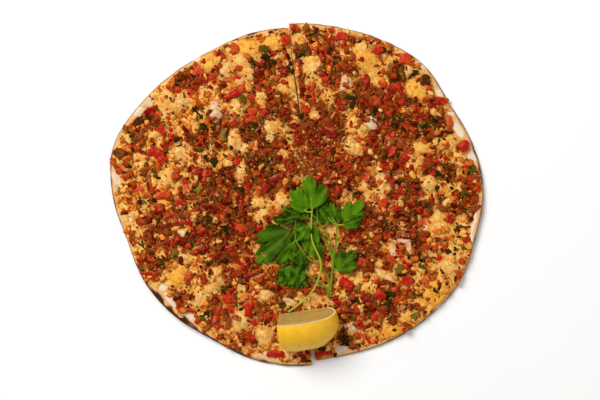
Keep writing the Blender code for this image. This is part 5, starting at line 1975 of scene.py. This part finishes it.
class LAHMACUN_OT_stage(Operator):
    """Set up the pale floor, the soft lights and the camera looking straight down"""

    bl_idname = "lahmacun.stage"
    bl_label = "Stage"

    def execute(self, context):
        stage = context.scene.lahmacun_stage
        bpy.ops.object.select_all(action="DESELECT")
        bpy.ops.mesh.primitive_plane_add(size=8, location=(0, 0, 0))
        floor = context.object
        floor.name = floor.data.name = "floor"
        floor.data.materials.append(floor_material())
        for name, power, size, place in (
            ("key_light", stage.key_power, 1.3, (-1.15, 1.15, 1.7)),
            ("fill_light", stage.fill_power, 1.6, (1.2, -0.8, 1.6)),
        ):
            bpy.ops.object.light_add(type="AREA", location=place)
            light = context.object
            light.name = light.data.name = name
            light.data.shape = "DISK"
            light.data.size = size
            light.data.energy = power
            light.rotation_euler = (-Vector(place)).to_track_quat("-Z", "Y").to_euler()
        world = bpy.data.worlds.new("soft_room")
        world.use_nodes = True
        background = world.node_tree.nodes["Background"]
        background.inputs["Color"].default_value = (1, 1, 1, 1)
        background.inputs["Strength"].default_value = stage.world_strength
        context.scene.world = world
        middle = VIEW_MIDDLE * MM + SHIFT
        above = (middle.real, middle.imag, stage.camera_height)
        bpy.ops.object.camera_add(location=above, rotation=(0, 0, 0))
        camera = context.object
        camera.name = camera.data.name = "camera"
        camera.data.sensor_width = SENSOR_WIDTH
        camera.data.lens = SENSOR_WIDTH * (stage.camera_height - VIEWED_HEIGHT) / stage.view_width
        context.scene.camera = camera
        context.scene.view_settings.view_transform = "Standard"
        return {"FINISHED"}


OPERATORS = (
    LAHMACUN_OT_bread,
    LAHMACUN_OT_topping,
    LAHMACUN_OT_diced,
    LAHMACUN_OT_mince,
    LAHMACUN_OT_onion,
    LAHMACUN_OT_herbs,
    LAHMACUN_OT_scraps,
    LAHMACUN_OT_lemon,
    LAHMACUN_OT_parsley,
    LAHMACUN_OT_stage,
)


class LAHMACUN_PT_steps(Panel):
    """The steps in the order in which they are run"""

    bl_label = "Lahmacun"
    bl_idname = "LAHMACUN_PT_steps"
    bl_space_type = "VIEW_3D"
    bl_region_type = "UI"
    bl_category = "Lahmacun"

    def draw(self, context):
        column = self.layout.column(align=True)
        for operator in OPERATORS:
            column.operator(operator.bl_idname)
        scene = context.scene
        for settings in (scene.lahmacun_sizes, scene.lahmacun_stage, scene.lahmacun_looks):
            box = self.layout.box()
            for name in settings.bl_rna.properties.keys():
                if name not in ("rna_type", "name"):
                    box.prop(settings, name)


CLASSES = (LahmacunLooks, LahmacunSizes, LahmacunStage, *OPERATORS, LAHMACUN_PT_steps)


def register():
    for each in CLASSES:
        bpy.utils.register_class(each)
    bpy.types.Scene.lahmacun_looks = PointerProperty(type=LahmacunLooks)
    bpy.types.Scene.lahmacun_sizes = PointerProperty(type=LahmacunSizes)
    bpy.types.Scene.lahmacun_stage = PointerProperty(type=LahmacunStage)


def unregister():
    del bpy.types.Scene.lahmacun_stage
    del bpy.types.Scene.lahmacun_sizes
    del bpy.types.Scene.lahmacun_looks
    for each in reversed(CLASSES):
        bpy.utils.unregister_class(each)


def main():
    register()
    bpy.ops.lahmacun.bread()
    bpy.ops.lahmacun.topping()
    bpy.ops.lahmacun.diced()
    bpy.ops.lahmacun.mince()
    bpy.ops.lahmacun.onion()
    bpy.ops.lahmacun.herbs()
    bpy.ops.lahmacun.scraps()
    bpy.ops.lahmacun.lemon()
    bpy.ops.lahmacun.parsley()
    bpy.ops.lahmacun.stage()


if __name__ == "__main__":
    main()
